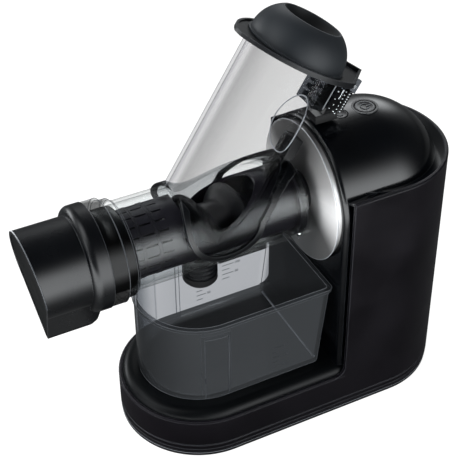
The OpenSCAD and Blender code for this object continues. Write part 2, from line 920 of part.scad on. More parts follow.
// ---- Feed tube ----------------------------------------------------------

// Side view of the saddle: a strip along the tube with a round lower end, whose rear
// leg leans out towards the tower: height along the tube, and how far it leans out
saddle_leg = [[8.5, -1.4], [29.5, 4.5], [39.5, 10], [51, 19], [100, 19]];
module saddle_zone(half) {
    in_tube_frame() translate([0, 0, saddle_rise]) {
        rotate([90, 0, 0]) cylinder(r = half, h = 4 * drum_r, center = true);
        rotate([90, 0, 0]) translate([0, 0, -2 * drum_r]) linear_extrude(4 * drum_r)
            polygon(concat([[-half, 100], [-half, 0], [0, 0]],
                           [for (p = saddle_leg) [half + p[1], p[0]]]));
    }
}

module drum_skin(t) {
    difference() {
        x_cyl(drum_front_x + collar_l, drum_r + t, drum_l - collar_l - flange_t);
        x_cyl(drum_front_x, drum_r + 0.02, drum_l);
    }
}

module feed_tube() {
    color([0.85, 0.88, 0.9, 0.25])
    difference() {
        in_tube_frame() cylinder(r = tube_r, h = tube_l);
        x_cyl(drum_front_x, drum_r + 0.02, drum_l + 40);
        tube_bore();
    }
}

module drum_saddle() {
    color([0.85, 0.88, 0.9, 0.25])
    difference() {
        intersection() {
            drum_skin(saddle_t);
            saddle_zone(saddle_half_w);
        }
        in_tube_frame() cylinder(r = tube_r + 0.02, h = tube_l);
    }
}

module saddle_seal() {
    color("#0a0a0b")
    difference() {
        intersection() {
            drum_skin(saddle_t + 0.6);
            saddle_zone(saddle_half_w + saddle_band);
        }
        saddle_zone(saddle_half_w + 0.02);
        in_tube_frame() cylinder(r = tube_r + 0.02, h = tube_l);
    }
}

// Stiffening rib behind the tube: a web with a broad outer flange
spine_half_w = 7;
spine_s1 = 50;
spine_s2 = tube_l - 62;
module tube_spine() {
    color([0.1, 0.11, 0.12, 0.6])
    in_tube_frame() difference() {
        union() {
            translate([0, -1.5, spine_s1]) cube([spine_u, 3, spine_s2 - spine_s1]);
            translate([spine_u - 9, -spine_half_w, spine_s1])
                cube([9, 2 * spine_half_w, spine_s2 - spine_s1]);
        }
        cylinder(r = tube_r + 0.02, h = tube_l);
        rotate([0, -tube_lean, 0]) translate([-tube_foot_x, 0, -axis_h])
            x_cyl(drum_front_x, drum_r + saddle_t + 0.65, drum_l);
    }
}

// Outline of the tray: the common part of two large circles, a pointed leaf
leaf_r = (tray_half_l * tray_half_l + tray_half_w * tray_half_w) / (2 * tray_half_w);
tip_angle = 48;
module leaf_2d(inset) {
    intersection() {
        translate([tray_shift, leaf_r - tray_half_w]) circle(leaf_r - inset);
        translate([tray_shift, tray_half_w - leaf_r]) circle(leaf_r - inset);
        // the front end is blunt, the rear end runs to a point
        translate([tray_shift + 1.5, 0]) circle(tray_half_l - inset);
        translate([tray_shift + tray_half_l - inset / sin(tip_angle), 0])
            polygon([[0, 0], [-200, 200 * tan(tip_angle)], [-200, -200 * tan(tip_angle)]]);
    }
}

// The tray's lip rises towards its rear tip
module lip_cut() {
    rise = atan(tray_rise / tray_half_l / 2);
    translate([tray_shift - tray_half_l, -100, tray_z + tray_lip]) rotate([0, -rise, 0])
        translate([-10, 0, 0]) cube([300, 200, 40]);
}

module hopper_tray() {
    color("#141517")
    in_tube_frame() difference() {
        union() {
            difference() {
                translate([0, 0, tray_z - tray_t])
                    linear_extrude(tray_t + tray_lip + tray_rise + 1) leaf_2d(0);
                lip_cut();
            }
            translate([0, 0, tray_z - tray_t - 1.2]) cylinder(r = tube_r + 1.5, h = tray_t + 1);
        }
        translate([0, 0, tray_z]) linear_extrude(30) leaf_2d(2);
        translate([0, 0, tray_z - 20]) cylinder(r = tube_r + 0.02, h = 20 - tray_t);
        translate([0, 0, tray_z - 20]) cylinder(r = tube_bore_r, h = 40);
    }
}

// ---- Latch behind the tube ----------------------------------------------

latch_s1 = tube_l - 33;
latch_s2 = tray_z - tray_t;
latch_half_w = 11;
latch_u2 = tube_r + 12;
pin_u = tube_r + 28.4;
pin_s = latch_s2 - 6.2;
pin_r = 2;
lug_t = 3;

module latch_housing() {
    color([0.8, 0.82, 0.84, 0.35])
    in_tube_frame() difference() {
        union() {
            translate([0, -latch_half_w, latch_s1])
                cube([latch_u2, 2 * latch_half_w, latch_s2 - latch_s1]);
            for (s = [-1, 1]) translate([latch_u2 - 1, s * (latch_half_w - lug_t / 2) - lug_t / 2, pin_s - 5])
                cube([pin_u - latch_u2 + 5, lug_t, latch_s2 - pin_s + 5]);
        }
        cylinder(r = tube_r + 2.02, h = tube_l + 1);
        for (i = [0 : 3]) translate([tube_r + 2, -latch_half_w + 3, latch_s1 + 3 + i * 6.5])
            cube([latch_u2, 2 * latch_half_w - 6, 3.5]);
        translate([pin_u, 0, pin_s]) rotate([90, 0, 0])
            cylinder(r = pin_r, h = 60, center = true);
    }
}

module lever_pin() {
    color("#c0c2c4")
    in_tube_frame() translate([pin_u, 0, pin_s]) rotate([90, 0, 0])
        cylinder(r = pin_r, h = 2 * latch_half_w, center = true);
}

lever_half_w = latch_half_w - lug_t - 0.4;
lever_u1 = tube_r + 18;
bar_t = 4;
hook_z = crown_z + 2.3;
hook_h = 7.5;
hook_l = 19;
cheek_t = 2;
// the bar's lower end lies inside the hook, whatever the tube's length
lever_s1 = (hook_z + hook_h / 2 - axis_h + lever_u1 * sin(tube_lean)) / cos(tube_lean);

// The clip: a bar towards the tube, two cheeks, a barrel on the pin and a hook
// that rests over the tower's crown
module lock_lever() {
    color("#131416")
    difference() {
        union() {
            in_tube_frame() {
                translate([lever_u1, -lever_half_w, lever_s1])
                    cube([bar_t, 2 * lever_half_w, pin_s - lever_s1 - 3]);
                for (s = [-1, 1])
                    translate([lever_u1, s * (lever_half_w - cheek_t / 2) - cheek_t / 2, lever_s1])
                        cube([pin_u - lever_u1 + 1, cheek_t, pin_s - lever_s1]);
                translate([pin_u, 0, pin_s]) rotate([90, 0, 0])
                    cylinder(r = 3.8, h = 2 * lever_half_w, center = true);
            }
            hook_block(0);
        }
        in_tube_frame() translate([pin_u, 0, pin_s]) rotate([90, 0, 0])
            cylinder(r = pin_r + run, h = 60, center = true);
        translate([face_x - 20, -body_r, hook_z - 30]) cube([body_w, body_w, 30]);
    }
}

module hook_block(d) {
    w = lever_half_w + 0.3 + d;
    translate([face_x + 2 - d, -w, hook_z - 2 - d])
        cube([hook_l + 2 * d, 2 * w, hook_h + 2 + 2 * d]);
}

grip_count = 8;
grip_s1 = latch_s1 + 3;
grip_s2 = pin_s - 5.5;
module lever_grip() {
    color("#d5d8da")
    difference() {
        in_tube_frame() {
            translate([pin_u - 3, cheek_t - lever_half_w, grip_s1])
                cube([4, 2 * (lever_half_w - cheek_t), grip_s2 - grip_s1]);
            translate([pin_u + 1, -lever_half_w, grip_s1])
                cube([3, 2 * lever_half_w, grip_s2 - grip_s1]);
            for (i = [0 : grip_count - 1])
                translate([pin_u + 4, 0, grip_s1 + 1.5 + i * (grip_s2 - grip_s1 - 3) / (grip_count - 1)])
                    rotate([90, 0, 0])
                        cylinder(r = 1.2, h = 2 * lever_half_w, center = true, $fn = 24);
        }
        hook_block(0.1);
    }
}

// ---- Auger --------------------------------------------------------------

auger_x1 = drum_front_x + 2;
auger_x2 = drum_rear_x - flange_t - 14;
auger_l = auger_x2 - auger_x1;
steps_round = 48;
steps_long = 76;

// Core radius at t = 0 (rear) to 1 (front): it swells as the pulp is pressed
function core_r(t) = core_rear_r + (core_front_r - core_rear_r) * pow(t, 1.4);
// Height of the flight at an angle a away from its ridge, as a share of 1
function ridge(a) = pow(max(0, cos(a)), 6);
function auger_pt(i, j) =
    let (t = j / steps_long, a = i * 360 / steps_round,
         off = a - t * auger_l / auger_lead * 360,
         away = ((off % 360) + 540) % 360 - 180,
         r = core_r(t) + (auger_r - core_r(t)) * ridge(away / 2))
    [auger_x2 - t * auger_l, r * sin(a), axis_h + r * cos(a)];

module auger() {
    pts = concat([for (j = [0 : steps_long], i = [0 : steps_round - 1]) auger_pt(i, j)],
                 [[auger_x2, 0, axis_h], [auger_x1, 0, axis_h]]);
    n = steps_round;
    last = steps_long * n;
    sides = [for (j = [0 : steps_long - 1], i = [0 : n - 1])
             let (a = j * n + i, b = j * n + (i + 1) % n) each [[a, b, b + n], [a, b + n, a + n]]];
    ends = [for (i = [0 : n - 1]) each [[len(pts) - 2, (i + 1) % n, i],
                                        [len(pts) - 1, last + i, last + (i + 1) % n]]];
    color("#2a2c2e") polyhedron(points = pts, faces = concat(sides, ends));
}

module auger_coupling() {
    color("#9a9da0")
    difference() {
        x_cyl(auger_x2, 11, 14 - 1);
        translate([auger_x2 - 1, 0, axis_h]) rotate([0, 90, 0])
            cylinder(d = (hex_w + 0.5) / cos(30), h = 20, $fn = 6);
    }
}

pivot_r = 5;
pivot_l = 23;
module auger_pivot() {
    color("#b0b3b6") x_cyl(auger_x1 - pivot_l, pivot_r, pivot_l);
}

// ---- Pulp cap -----------------------------------------------------------

// Teardrop end view, seen along X: y across, z up, less d all round
module teardrop_2d(d) {
    r = nose_r - d;
    tip = chute_drop - chute_tip_r;
    tr = chute_tip_r - d / 2;
    a = asin((r - tr) / tip);
    // the sides run inside both rounds, so that a soft crease shows where they cross
    ri = r - 0.6;
    ti = tr - 0.3;
    union() {
        circle(r);
        translate([0, -tip]) circle(tr);
        polygon([[0, 0], [ri * cos(a), -ri * sin(a)], [ti * cos(a), -tip - ti * sin(a)],
                 [-ti * cos(a), -tip - ti * sin(a)], [-ri * cos(a), -ri * sin(a)]]);
    }
}

chute_end_x = drum_front_x - 4;
chute_round = 10;
nose_top_z = axis_h + nose_r;

// Side view of the nose: leaning end face and a rounded rear corner on the chute
module nose_side_zone(d) {
    low = axis_h - chute_drop - 1;
    rotate([90, 0, 0]) translate([0, 0, -body_r]) linear_extrude(body_w) difference() {
        union() {
            translate([cap_x - 5, low + chute_round]) square([chute_end_x - cap_x + 5, 200]);
            translate([cap_x - 5, low]) square([chute_end_x - cap_x + 5 - chute_round, 200]);
            translate([chute_end_x - chute_round, low + 1 + chute_round]) circle(chute_round);
        }
        translate([cap_x + d, nose_top_z]) rotate(face_lean) translate([-60, -200])
            square([60, 400]);
    }
}

module nose(d, x2) {
    intersection() {
        translate([cap_x - 5, 0, axis_h]) rotate([90, 0, 90])
            linear_extrude(x2 - cap_x + 5) teardrop_2d(d);
        nose_side_zone(d);
    }
}

recess_d = 1.6;
module end_cap() {
    color("#101113")
    difference() {
        union() {
            nose(0, chute_end_x);
            x_turned() cap_skirt_2d(0);
        }
        // hollow of the nose and chute, open to the drum
        intersection() {
            nose(cap_wall + recess_d, chute_end_x - cap_wall);
            translate([cap_x, -body_r, axis_h - chute_drop + chute_tip_r])
                cube([cap_l, body_w, body_w]);
        }
        x_cyl(drum_front_x - skirt_l, nose_r - cap_wall, skirt_l + 1);
        x_cyl(drum_front_x - spigot_l - 2.3, spigot_r + 0.3, spigot_l + 4);
        // recess of the end face
        intersection() {
            translate([cap_x - 5, 0, axis_h]) rotate([90, 0, 90])
                linear_extrude(cap_l) teardrop_2d(cap_wall);
            difference() {
                nose_side_zone(-5);
                nose_side_zone(recess_d);
            }
        }
        translate([drum_front_x - skirt_l - outlet_l, -outlet_w / 2, axis_h - chute_drop - 2])
            cube([outlet_l, outlet_w, 12]);
    }
    color("#101113") pivot_spider();
}

module cap_skirt_2d(d) {
    x1 = drum_front_x - skirt_l;
    neck = skirt_r - nose_r;
    translate([0, x1 - neck]) square([nose_r, neck]);
    translate([0, x1]) square([skirt_r - neck, skirt_l - 0.2]);
    translate([nose_r - 1, x1 + neck]) square([neck + 1, skirt_l - neck - 0.2]);
    translate([nose_r, x1 + neck]) circle(neck);
}

// Spider inside the cap that holds the auger's front pivot
module pivot_spider() {
    x1 = drum_front_x - skirt_l - 7;
    difference() {
        union() {
            x_cyl(x1, pivot_r + 4, 7);
            intersection() {
                for (a = [0, 120, 240]) translate([x1, 0, axis_h]) rotate([a, 0, 0])
                    translate([0, -1.5, pivot_r + 1]) cube([7, 3, nose_r]);
                x_cyl(x1, nose_r - cap_wall + 0.3, 7);
            }
        }
        x_cyl(x1 - 1, pivot_r + run, 20);
    }
}

// The end face's plate: the teardrop and a rib inside it, both cut to a leaning slab
module cap_end_plate() {
    color("#1a1c1f")
    union() {
        intersection() {
            translate([cap_x - 5, 0, axis_h]) rotate([90, 0, 90])
                linear_extrude(cap_l) teardrop_2d(cap_wall + 0.1);
            end_slab();
        }
        intersection() {
            translate([cap_x - 5, -1.5, axis_h - chute_drop + chute_tip_r - 2])
                cube([cap_l, 3, chute_drop]);
            end_slab();
        }
    }
}

module end_slab() {
    translate([cap_x, 0, nose_top_z]) rotate([0, -face_lean, 0])
        translate([0.6, -body_r, -body_w])
            cube([recess_d * cos(face_lean) - 0.62, body_w, 2 * body_w]);
}

module cap_seal() {
    color("#6b2320")
    difference() {
        x_cyl(drum_front_x - spigot_l - 2, spigot_r, 2);
        x_cyl(drum_front_x - spigot_l - 3, spigot_r - 3, 5);
    }
}

// ---- Pusher -------------------------------------------------------------

bell_s = tray_z + 0.3;
bell_mid = bell_r - bell_arc_r;
bell_arc_z = 2;
rim_r = bell_mid + sqrt(pow(bell_arc_r, 2) - pow(bell_h - bell_arc_z, 2));
cup_open = rim_r - 1.4;
cup_depth = 13;
cup_r = (pow(cup_open, 2) + pow(cup_depth, 2)) / (2 * cup_depth);
cup_floor = bell_h - cup_depth;

module bell_2d(d) {
    intersection() {
        union() {
            square([bell_mid, bell_h]);
            translate([bell_mid, bell_arc_z]) circle(bell_arc_r - d);
        }
        square([bell_r, bell_h - d]);
    }
}

module pusher() {
    color("#15171a")
    in_tube_frame() translate([0, 0, bell_s]) difference() {
        union() {
            translate([bell_shift, 0, 0]) rotate_extrude() bell_2d(0);
            translate([bell_shift, 0, 0]) cylinder(r = bell_r + 1.3, h = 1.4);
            translate([0, 0, -plug_l]) cylinder(r = plug_r, h = plug_l + 6);
        }
        translate([bell_shift, 0, cup_floor + cup_r]) sphere(cup_r);
        translate([0, 0, -plug_l - 1]) cylinder(r = plug_r - 2.5, h = plug_l + cup_floor - 1);
    }
}

// ---- Jug ----------------------------------------------------------------

jug_x1 = round_front_x;
jug_x2 = face_x - jug_gap;
jug_z = deck_h;
jug_half_w = body_r - jug_inset;
jug_top = nozzle_z - jug_nozzle_gap;
lip_w = 1.4;
lip_h = 3;
corner_r = 5;

module jug_profile(r, z1, z2, fr) {
    intersection() {
        translate([-r, z1]) rounded_2d(2 * r, z2 - z1 + 2 * fr, fr);
        translate([0, z1]) square([r, z2 - z1]);
    }
}

// Everything in front of the jug's leaning flat end, with rounded upright corners
module jug_end_zone(d) {
    w = 2 * (jug_half_w + lip_w);
    translate([jug_x2 - d, 0, jug_top]) rotate([0, jug_lean, 0])
        translate([-300, -w / 2 + d, -200])
            linear_extrude(400) rounded_2d(300, w - 2 * d, corner_r);
}

module jug_form(r, z1, z2, fr, d) {
    intersection() {
        racetrack(jug_x1, jug_x2 + 20) jug_profile(r, z1, z2, fr);
        jug_end_zone(d);
    }
}

// Upright flutes that fingers and thumb grip, just in front of the round's end: a recess
// with steep sides and a hollowed face
flute_turn = 8;
hollow_d = 1;
flute_r = (flute_w * flute_w / 4 + hollow_d * hollow_d) / (2 * hollow_d);
module flute(d) {
    for (s = [-1, 1])
        translate([jug_x1, 0, jug_z - 1]) rotate([0, 0, s * (90 + flute_turn)]) {
            h = jug_top - flute_drop - jug_z + 1 + d;
            translate([jug_half_w - flute_d + hollow_d - d, -flute_w / 2 - d, 0])
                cube([flute_d + 10, flute_w + 2 * d, h]);
            intersection() {
                translate([jug_half_w - flute_d - d + flute_r, 0, 0]) cylinder(r = flute_r, h = h);
                translate([jug_half_w - flute_d - d, -flute_w / 2, 0])
                    cube([flute_d, flute_w, h]);
            }
        }
}

module juice_jug() {
    color([0.75, 0.78, 0.8, 0.3])
    difference() {
        union() {
            jug_form(jug_half_w, jug_z, jug_top, jug_round, lip_w);
            jug_form(jug_half_w + lip_w, jug_top - lip_h, jug_top, 0.5, 0);
        }
        difference() {
            jug_form(jug_half_w - jug_wall, jug_z + jug_wall, jug_top + 1, jug_round,
                     lip_w + jug_wall);
            flute(jug_wall);
        }
        flute(0);
    }
}

outer_casing();
tower_cover();
front_panel();
deck();
base_plate();
rubber_feet();
base_screws();
trim_disc();
locking_stud();
bearing_boss();
front_bearing();
rear_bearing();
gear_plate_front();
gear_plate_rear();
gear_pillars();
motor_can();
motor_rotor();
motor_pinion();
cooling_fan();
idler_gear();
output_gear();
drive_shaft();
switch_board();
button_bezel();
power_button();
reverse_button();
cord_gland();
drum();
drum_hub();
shaft_seal();
strainer();
spout_sleeve();
drip_nozzle();
drum_rail();
feed_tube();
drum_saddle();
saddle_seal();
tube_spine();
hopper_tray();
latch_housing();
lever_pin();
lock_lever();
lever_grip();
auger();
auger_coupling();
auger_pivot();
end_cap();
cap_end_plate();
cap_seal();
pusher();
juice_jug();
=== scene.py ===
"""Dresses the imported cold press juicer: camera, soft studio, materials and fine pieces.

Lengths are in metres unless a name or a comment says mm.
"""
import json
import math

import bmesh
import bpy
from mathutils import Matrix, Vector


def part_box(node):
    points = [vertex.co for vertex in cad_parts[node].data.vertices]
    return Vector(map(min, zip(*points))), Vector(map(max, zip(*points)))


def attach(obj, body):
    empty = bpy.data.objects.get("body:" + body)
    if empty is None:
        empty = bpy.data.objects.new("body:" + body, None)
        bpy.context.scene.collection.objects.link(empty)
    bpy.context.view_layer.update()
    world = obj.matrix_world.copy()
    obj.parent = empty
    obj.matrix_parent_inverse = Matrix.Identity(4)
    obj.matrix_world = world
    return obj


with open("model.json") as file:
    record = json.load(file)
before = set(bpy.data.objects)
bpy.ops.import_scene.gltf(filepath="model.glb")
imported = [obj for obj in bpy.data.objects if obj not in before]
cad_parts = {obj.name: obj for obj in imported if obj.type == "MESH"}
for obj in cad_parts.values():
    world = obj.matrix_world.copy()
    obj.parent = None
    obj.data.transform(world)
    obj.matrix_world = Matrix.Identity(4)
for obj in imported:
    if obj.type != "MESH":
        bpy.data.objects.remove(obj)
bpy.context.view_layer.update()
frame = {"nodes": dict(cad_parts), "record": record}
scene = bpy.context.scene
scene.view_settings.view_transform = "Standard"


# ---- Places of the CAD solids that looks and pieces follow ------------------

MM = 0.001
AXIS_Z = 0.191                         # height of the drum's axis, which lies along X
BODY_FRONT, BODY_REAR = -39.0, 111.0   # mm, centres of the racetrack's two half rounds

LEAN = math.radians(32)                # the feed tube's lean from upright
TUBE_FOOT = Vector((-40, 0, 191)) * MM
TUBE_FRAME = Matrix.Translation(TUBE_FOOT) @ Matrix.Rotation(LEAN, 4, "Y")
TUBE_R = 35 * MM
BELL_SHIFT = 4 * MM                    # how far the pusher's bell lies behind the tube's axis
HOLLOW_R = 23.2 * MM                   # the hollow in the bell's top

DRUM_R = 35.5 * MM                     # behind its wider front collar
COLLAR_REAR = -90 * MM                 # the collar ends in front of this
STRAINER_R = 27.5 * MM
CAP_FACE_X = -0.1662                   # the pulp cap's end face lies in front of this
CAP_FACE_R = 0.0346                    # and its outer edge outside this
CAP_FOOT_Z = 0.1256                    # the lowest edge of the cap's chute lies below this

JUG_END, JUG_TOP = 57.5, 126.0         # mm, the upper edge of its end wall
JUG_LEAN = math.radians(6.5)           # of its end wall
JUG_CORNER = 5.0                       # mm
JUG_HALF, JUG_LIP_HALF = 51.5, 52.9    # mm, half its width over the long walls and over its lip


# ---- Camera -----------------------------------------------------------------

AZIMUTH, ELEVATION, ROLL = (math.radians(a) for a in (-27.18, 38.31, -0.09))
TARGET = Vector((2.31, 0, 180.31)) * MM
DISTANCE = 1019.4 * MM
FRAME_PX = 458
FOCAL_PX = 1292.96
SHIFT_PX = (-13.59, -10.39)
SENSOR_MM = 36


def add_camera():
    back = Vector((math.sin(AZIMUTH) * math.cos(ELEVATION),
                   -math.cos(AZIMUTH) * math.cos(ELEVATION), math.sin(ELEVATION)))
    right = back.cross(Vector((0, 0, 1))).normalized() * -1
    up = back.cross(right)
    cam = bpy.data.objects.new("camera", bpy.data.cameras.new("camera"))
    turn = Matrix.Rotation(ROLL, 3, back)
    cam.matrix_world = Matrix.Translation(TARGET + back * DISTANCE) @ (
        turn @ Matrix((right, up, back)).transposed()).to_4x4()
    cam.data.sensor_width = SENSOR_MM
    cam.data.lens = FOCAL_PX / FRAME_PX * SENSOR_MM
    cam.data.shift_x, cam.data.shift_y = (shift / FRAME_PX for shift in SHIFT_PX)
    cam.data.clip_start, cam.data.clip_end = 0.01, 50
    scene.collection.objects.link(cam)
    scene.camera = cam


# ---- Node helpers -----------------------------------------------------------

class Nodes:
    """Adds nodes to a tree and links them in one call.

    A socket is given by its name, with _ for a space, or by its number as i0, i1 and so on.
    """

    def __init__(self, tree):
        self.tree = tree
        tree.nodes.clear()

    def add(self, kind, settings=(), **sockets):
        node = self.tree.nodes.new(kind)
        for key, value in dict(settings).items():
            setattr(node, key, value)
        for key, value in sockets.items():
            numbered = key[0] == "i" and key[1:].isdigit()
            socket = node.inputs[int(key[1:]) if numbered else key.replace("_", " ")]
            if isinstance(value, bpy.types.NodeSocket):
                self.tree.links.new(value, socket)
            else:
                socket.default_value = value
        return node

    def out(self, kind, settings=(), **sockets):
        """The first output of a new node."""
        return self.add(kind, settings, **sockets).outputs[0]

    def math(self, operation, *values, clamp=False):
        numbered = {f"i{i}": value for i, value in enumerate(values)}
        return self.out("ShaderNodeMath", {"operation": operation, "use_clamp": clamp}, **numbered)

    def vector(self, operation, *values):
        numbered = {f"i{i}": value for i, value in enumerate(values)}
        node = self.add("ShaderNodeVectorMath", {"operation": operation}, **numbered)
        return node.outputs["Value" if operation in ("DOT_PRODUCT", "LENGTH") else "Vector"]

    def rescale(self, value, start, end, low=0.0, high=1.0):
        """The value moved from start..end to low..high, and held at both ends."""
        return self.out("ShaderNodeMapRange", Value=value, From_Min=start, From_Max=end,
                        To_Min=low, To_Max=high)

    def ramp(self, value, stops, interpolation="LINEAR"):
        """Greys or colours by the value, from (position, grey or colour) pairs."""
        node = self.tree.nodes.new("ShaderNodeValToRGB")
        node.color_ramp.interpolation = interpolation
        elements = node.color_ramp.elements
        while len(elements) < len(stops):
            elements.new(0.5)
        for element, (position, tone) in zip(elements, stops):
            element.position = position
            element.color = (*tone, 1) if hasattr(tone, "__len__") else (tone, tone, tone, 1)
        self.tree.links.new(value, node.inputs[0])
        return node.outputs[0]

    def mix(self, share, first, second, blend="MIX"):
        """Two colours mixed."""
        return self.add("ShaderNodeMix", {"data_type": "RGBA", "blend_type": blend},
                        i0=share, i6=first, i7=second).outputs[2]

    def mix_shaders(self, share, first, second):
        return self.out("ShaderNodeMixShader", i0=share, i1=first, i2=second)

    def seen_white(self):
        """1 for rays from the camera or through the object, which see a white studio."""
        path = self.add("ShaderNodeLightPath").outputs
        return self.math("MAXIMUM", path["Is Camera Ray"], path["Is Transmission Ray"])

    def mirrored(self):
        """1 for rays that mirrors send out."""
        return self.add("ShaderNodeLightPath").outputs["Is Glossy Ray"]


def rgb(hex_code):
    """A colour as written (sRGB) in the linear values that sockets take."""
    parts = [int(hex_code[i:i + 2], 16) / 255 for i in (1, 3, 5)]
    return tuple(p / 12.92 if p <= 0.04045 else ((p + 0.055) / 1.055) ** 2.4 for p in parts)


def new_material(name):
    mat = bpy.data.materials.new(name)
    mat.use_nodes = True
    return mat, Nodes(mat.node_tree)


# ---- Studio -----------------------------------------------------------------

WHITE = (1, 1, 1, 1)
COOL = (0.95, 0.98, 1, 1)
FILL, FILL_LEVEL = (0.9, 0.95, 1, 1), 0.4  # what the world sheds on the object

# What mirrors see of the studio: direction, radiance, and how it falls off (cosines),
# in a dim room whose tone goes by the ray's height
SOFTBOXES = [
    ((0.56, 0.72, 0.40), 3.6, (0.93, 0.965, 0.985)),
    ((0.30, -0.95, 0.05), 5.5, (0.81, 0.90, 0.97)),
    ((-0.60, 0.20, 0.77), 3.0, (0.86, 0.94, 0.985)),
    ((-0.50, 0.86, 0.05), 6.0, (0.93, 0.97, 0.992)),
    ((-0.94, 0.05, 0.32), 2.6, (0.955, 0.98, 0.994)),
]
SOFTBOX_TAIL = 0.14
ROOM = [(0, 0.0), (0.1, 0.06), (0.5, 0.05), (1, 0.035)]

# What mirrors see of the floor: dim round the object, with the front box's glow further out,
# by the distance towards the front left
FLOOR_DIM = 0.12
FLOOR_GLOW = [(0.14, 0.0), (0.22, 0.04), (0.28, 0.25), (0.36, 0.6), (0.5, 1.0)]
FLOOR_GLOW_MOST = 5.5
FLOOR_GLOW_TOWARD = (-0.6, -0.8, 0)

# What the camera sees of it: mostly a plain white, and a share that keeps the shadow
FLOOR_HALF = 6
FLOOR_GREY = (0.88, 0.88, 0.88, 1)
FLOOR_WHITE_LEVEL, FLOOR_WHITE_SHARE = 1.1, 0.86

# Name, place, height aimed at, size, power (W)
LAMPS = [
    ("left_box", (-1.5, 0.1, 0.9), 0.15, (1.0, 1.3), 42),
    ("front_box", (0.3, -1.6, 0.8), 0.12, (1.0, 0.8), 16),
    ("top_box", (0.1, 0.9, 1.6), 0.15, (1.2, 0.8), 26),
]


def add_world():
    world = bpy.data.worlds.new("studio")
    scene.world = world
    world.use_nodes = True
    n = Nodes(world.node_tree)
    fill = n.out("ShaderNodeBackground", Color=FILL, Strength=FILL_LEVEL)
    white = n.out("ShaderNodeBackground", Color=WHITE, Strength=1)
    toward = n.add("ShaderNodeTexCoord").outputs["Generated"]
    height = n.add("ShaderNodeSeparateXYZ", Vector=toward).outputs[2]
    total = n.ramp(height, ROOM)
    for direction, radiance, (outer, middle, inner) in SOFTBOXES:
        near = n.vector("DOT_PRODUCT", toward, tuple(Vector(direction).normalized()))
        stops = [(outer - SOFTBOX_TAIL, 0), (outer, 0.06), (middle, 0.4), (inner, 1.0)]
        glow = n.ramp(near, stops, "B_SPLINE")
        total = n.math("MULTIPLY_ADD", glow, radiance, total)
    mirror = n.out("ShaderNodeBackground", Color=COOL, Strength=total)
    room = n.mix_shaders(n.mirrored(), fill, mirror)
    n.add("ShaderNodeOutputWorld", Surface=n.mix_shaders(n.seen_white(), room, white))


def add_lamp(name, place, aim_height, size, power):
    """A soft box that lights the object but isn't seen in it."""
    data = bpy.data.lights.new(name, "AREA")
    data.shape = "RECTANGLE"
    data.size, data.size_y = size
    data.energy = power
    lamp = bpy.data.objects.new(name, data)
    lamp.visible_glossy = False
    away = Vector(place) - Vector((0, 0, aim_height))
    turn = away.to_track_quat("Z", "Y").to_matrix().to_4x4()
    lamp.matrix_world = Matrix.Translation(place) @ turn
    scene.collection.objects.link(lamp)


def add_floor():
    bm = bmesh.new()
    bmesh.ops.create_grid(bm, x_segments=1, y_segments=1, size=FLOOR_HALF)
    mesh = bpy.data.meshes.new("floor")
    bm.to_mesh(mesh)
    bm.free()
    floor = bpy.data.objects.new("floor", mesh)
    scene.collection.objects.link(floor)
    mat, n = new_material("floor")
    lit = n.out("ShaderNodeBsdfDiffuse", Color=FLOOR_GREY)
    white = n.out("ShaderNodeEmission", Color=WHITE, Strength=FLOOR_WHITE_LEVEL)
    share = n.math("MULTIPLY", n.seen_white(), FLOOR_WHITE_SHARE, clamp=True)
    plain = n.mix_shaders(share, lit, white)
    at = n.add("ShaderNodeNewGeometry").outputs["Position"]
    glow = n.ramp(n.vector("DOT_PRODUCT", at, FLOOR_GLOW_TOWARD), FLOOR_GLOW)
    level = n.math("MULTIPLY_ADD", glow, FLOOR_GLOW_MOST, FLOOR_DIM)
    mirror = n.out("ShaderNodeEmission", Color=COOL, Strength=level)
    n.add("ShaderNodeOutputMaterial", Surface=n.mix_shaders(n.mirrored(), plain, mirror))
    mesh.materials.append(mat)


# ---- Kinds of material ------------------------------------------------------

PATCHES = 18.0                       # of tone and gloss, per metre
WEAR_SHEEN_BEGINS, WEAR_SHEEN_FULL = 0.975, 0.8  # cosine between the true and the rounded-off normal
BUMP_HEIGHT = 0.2 * MM


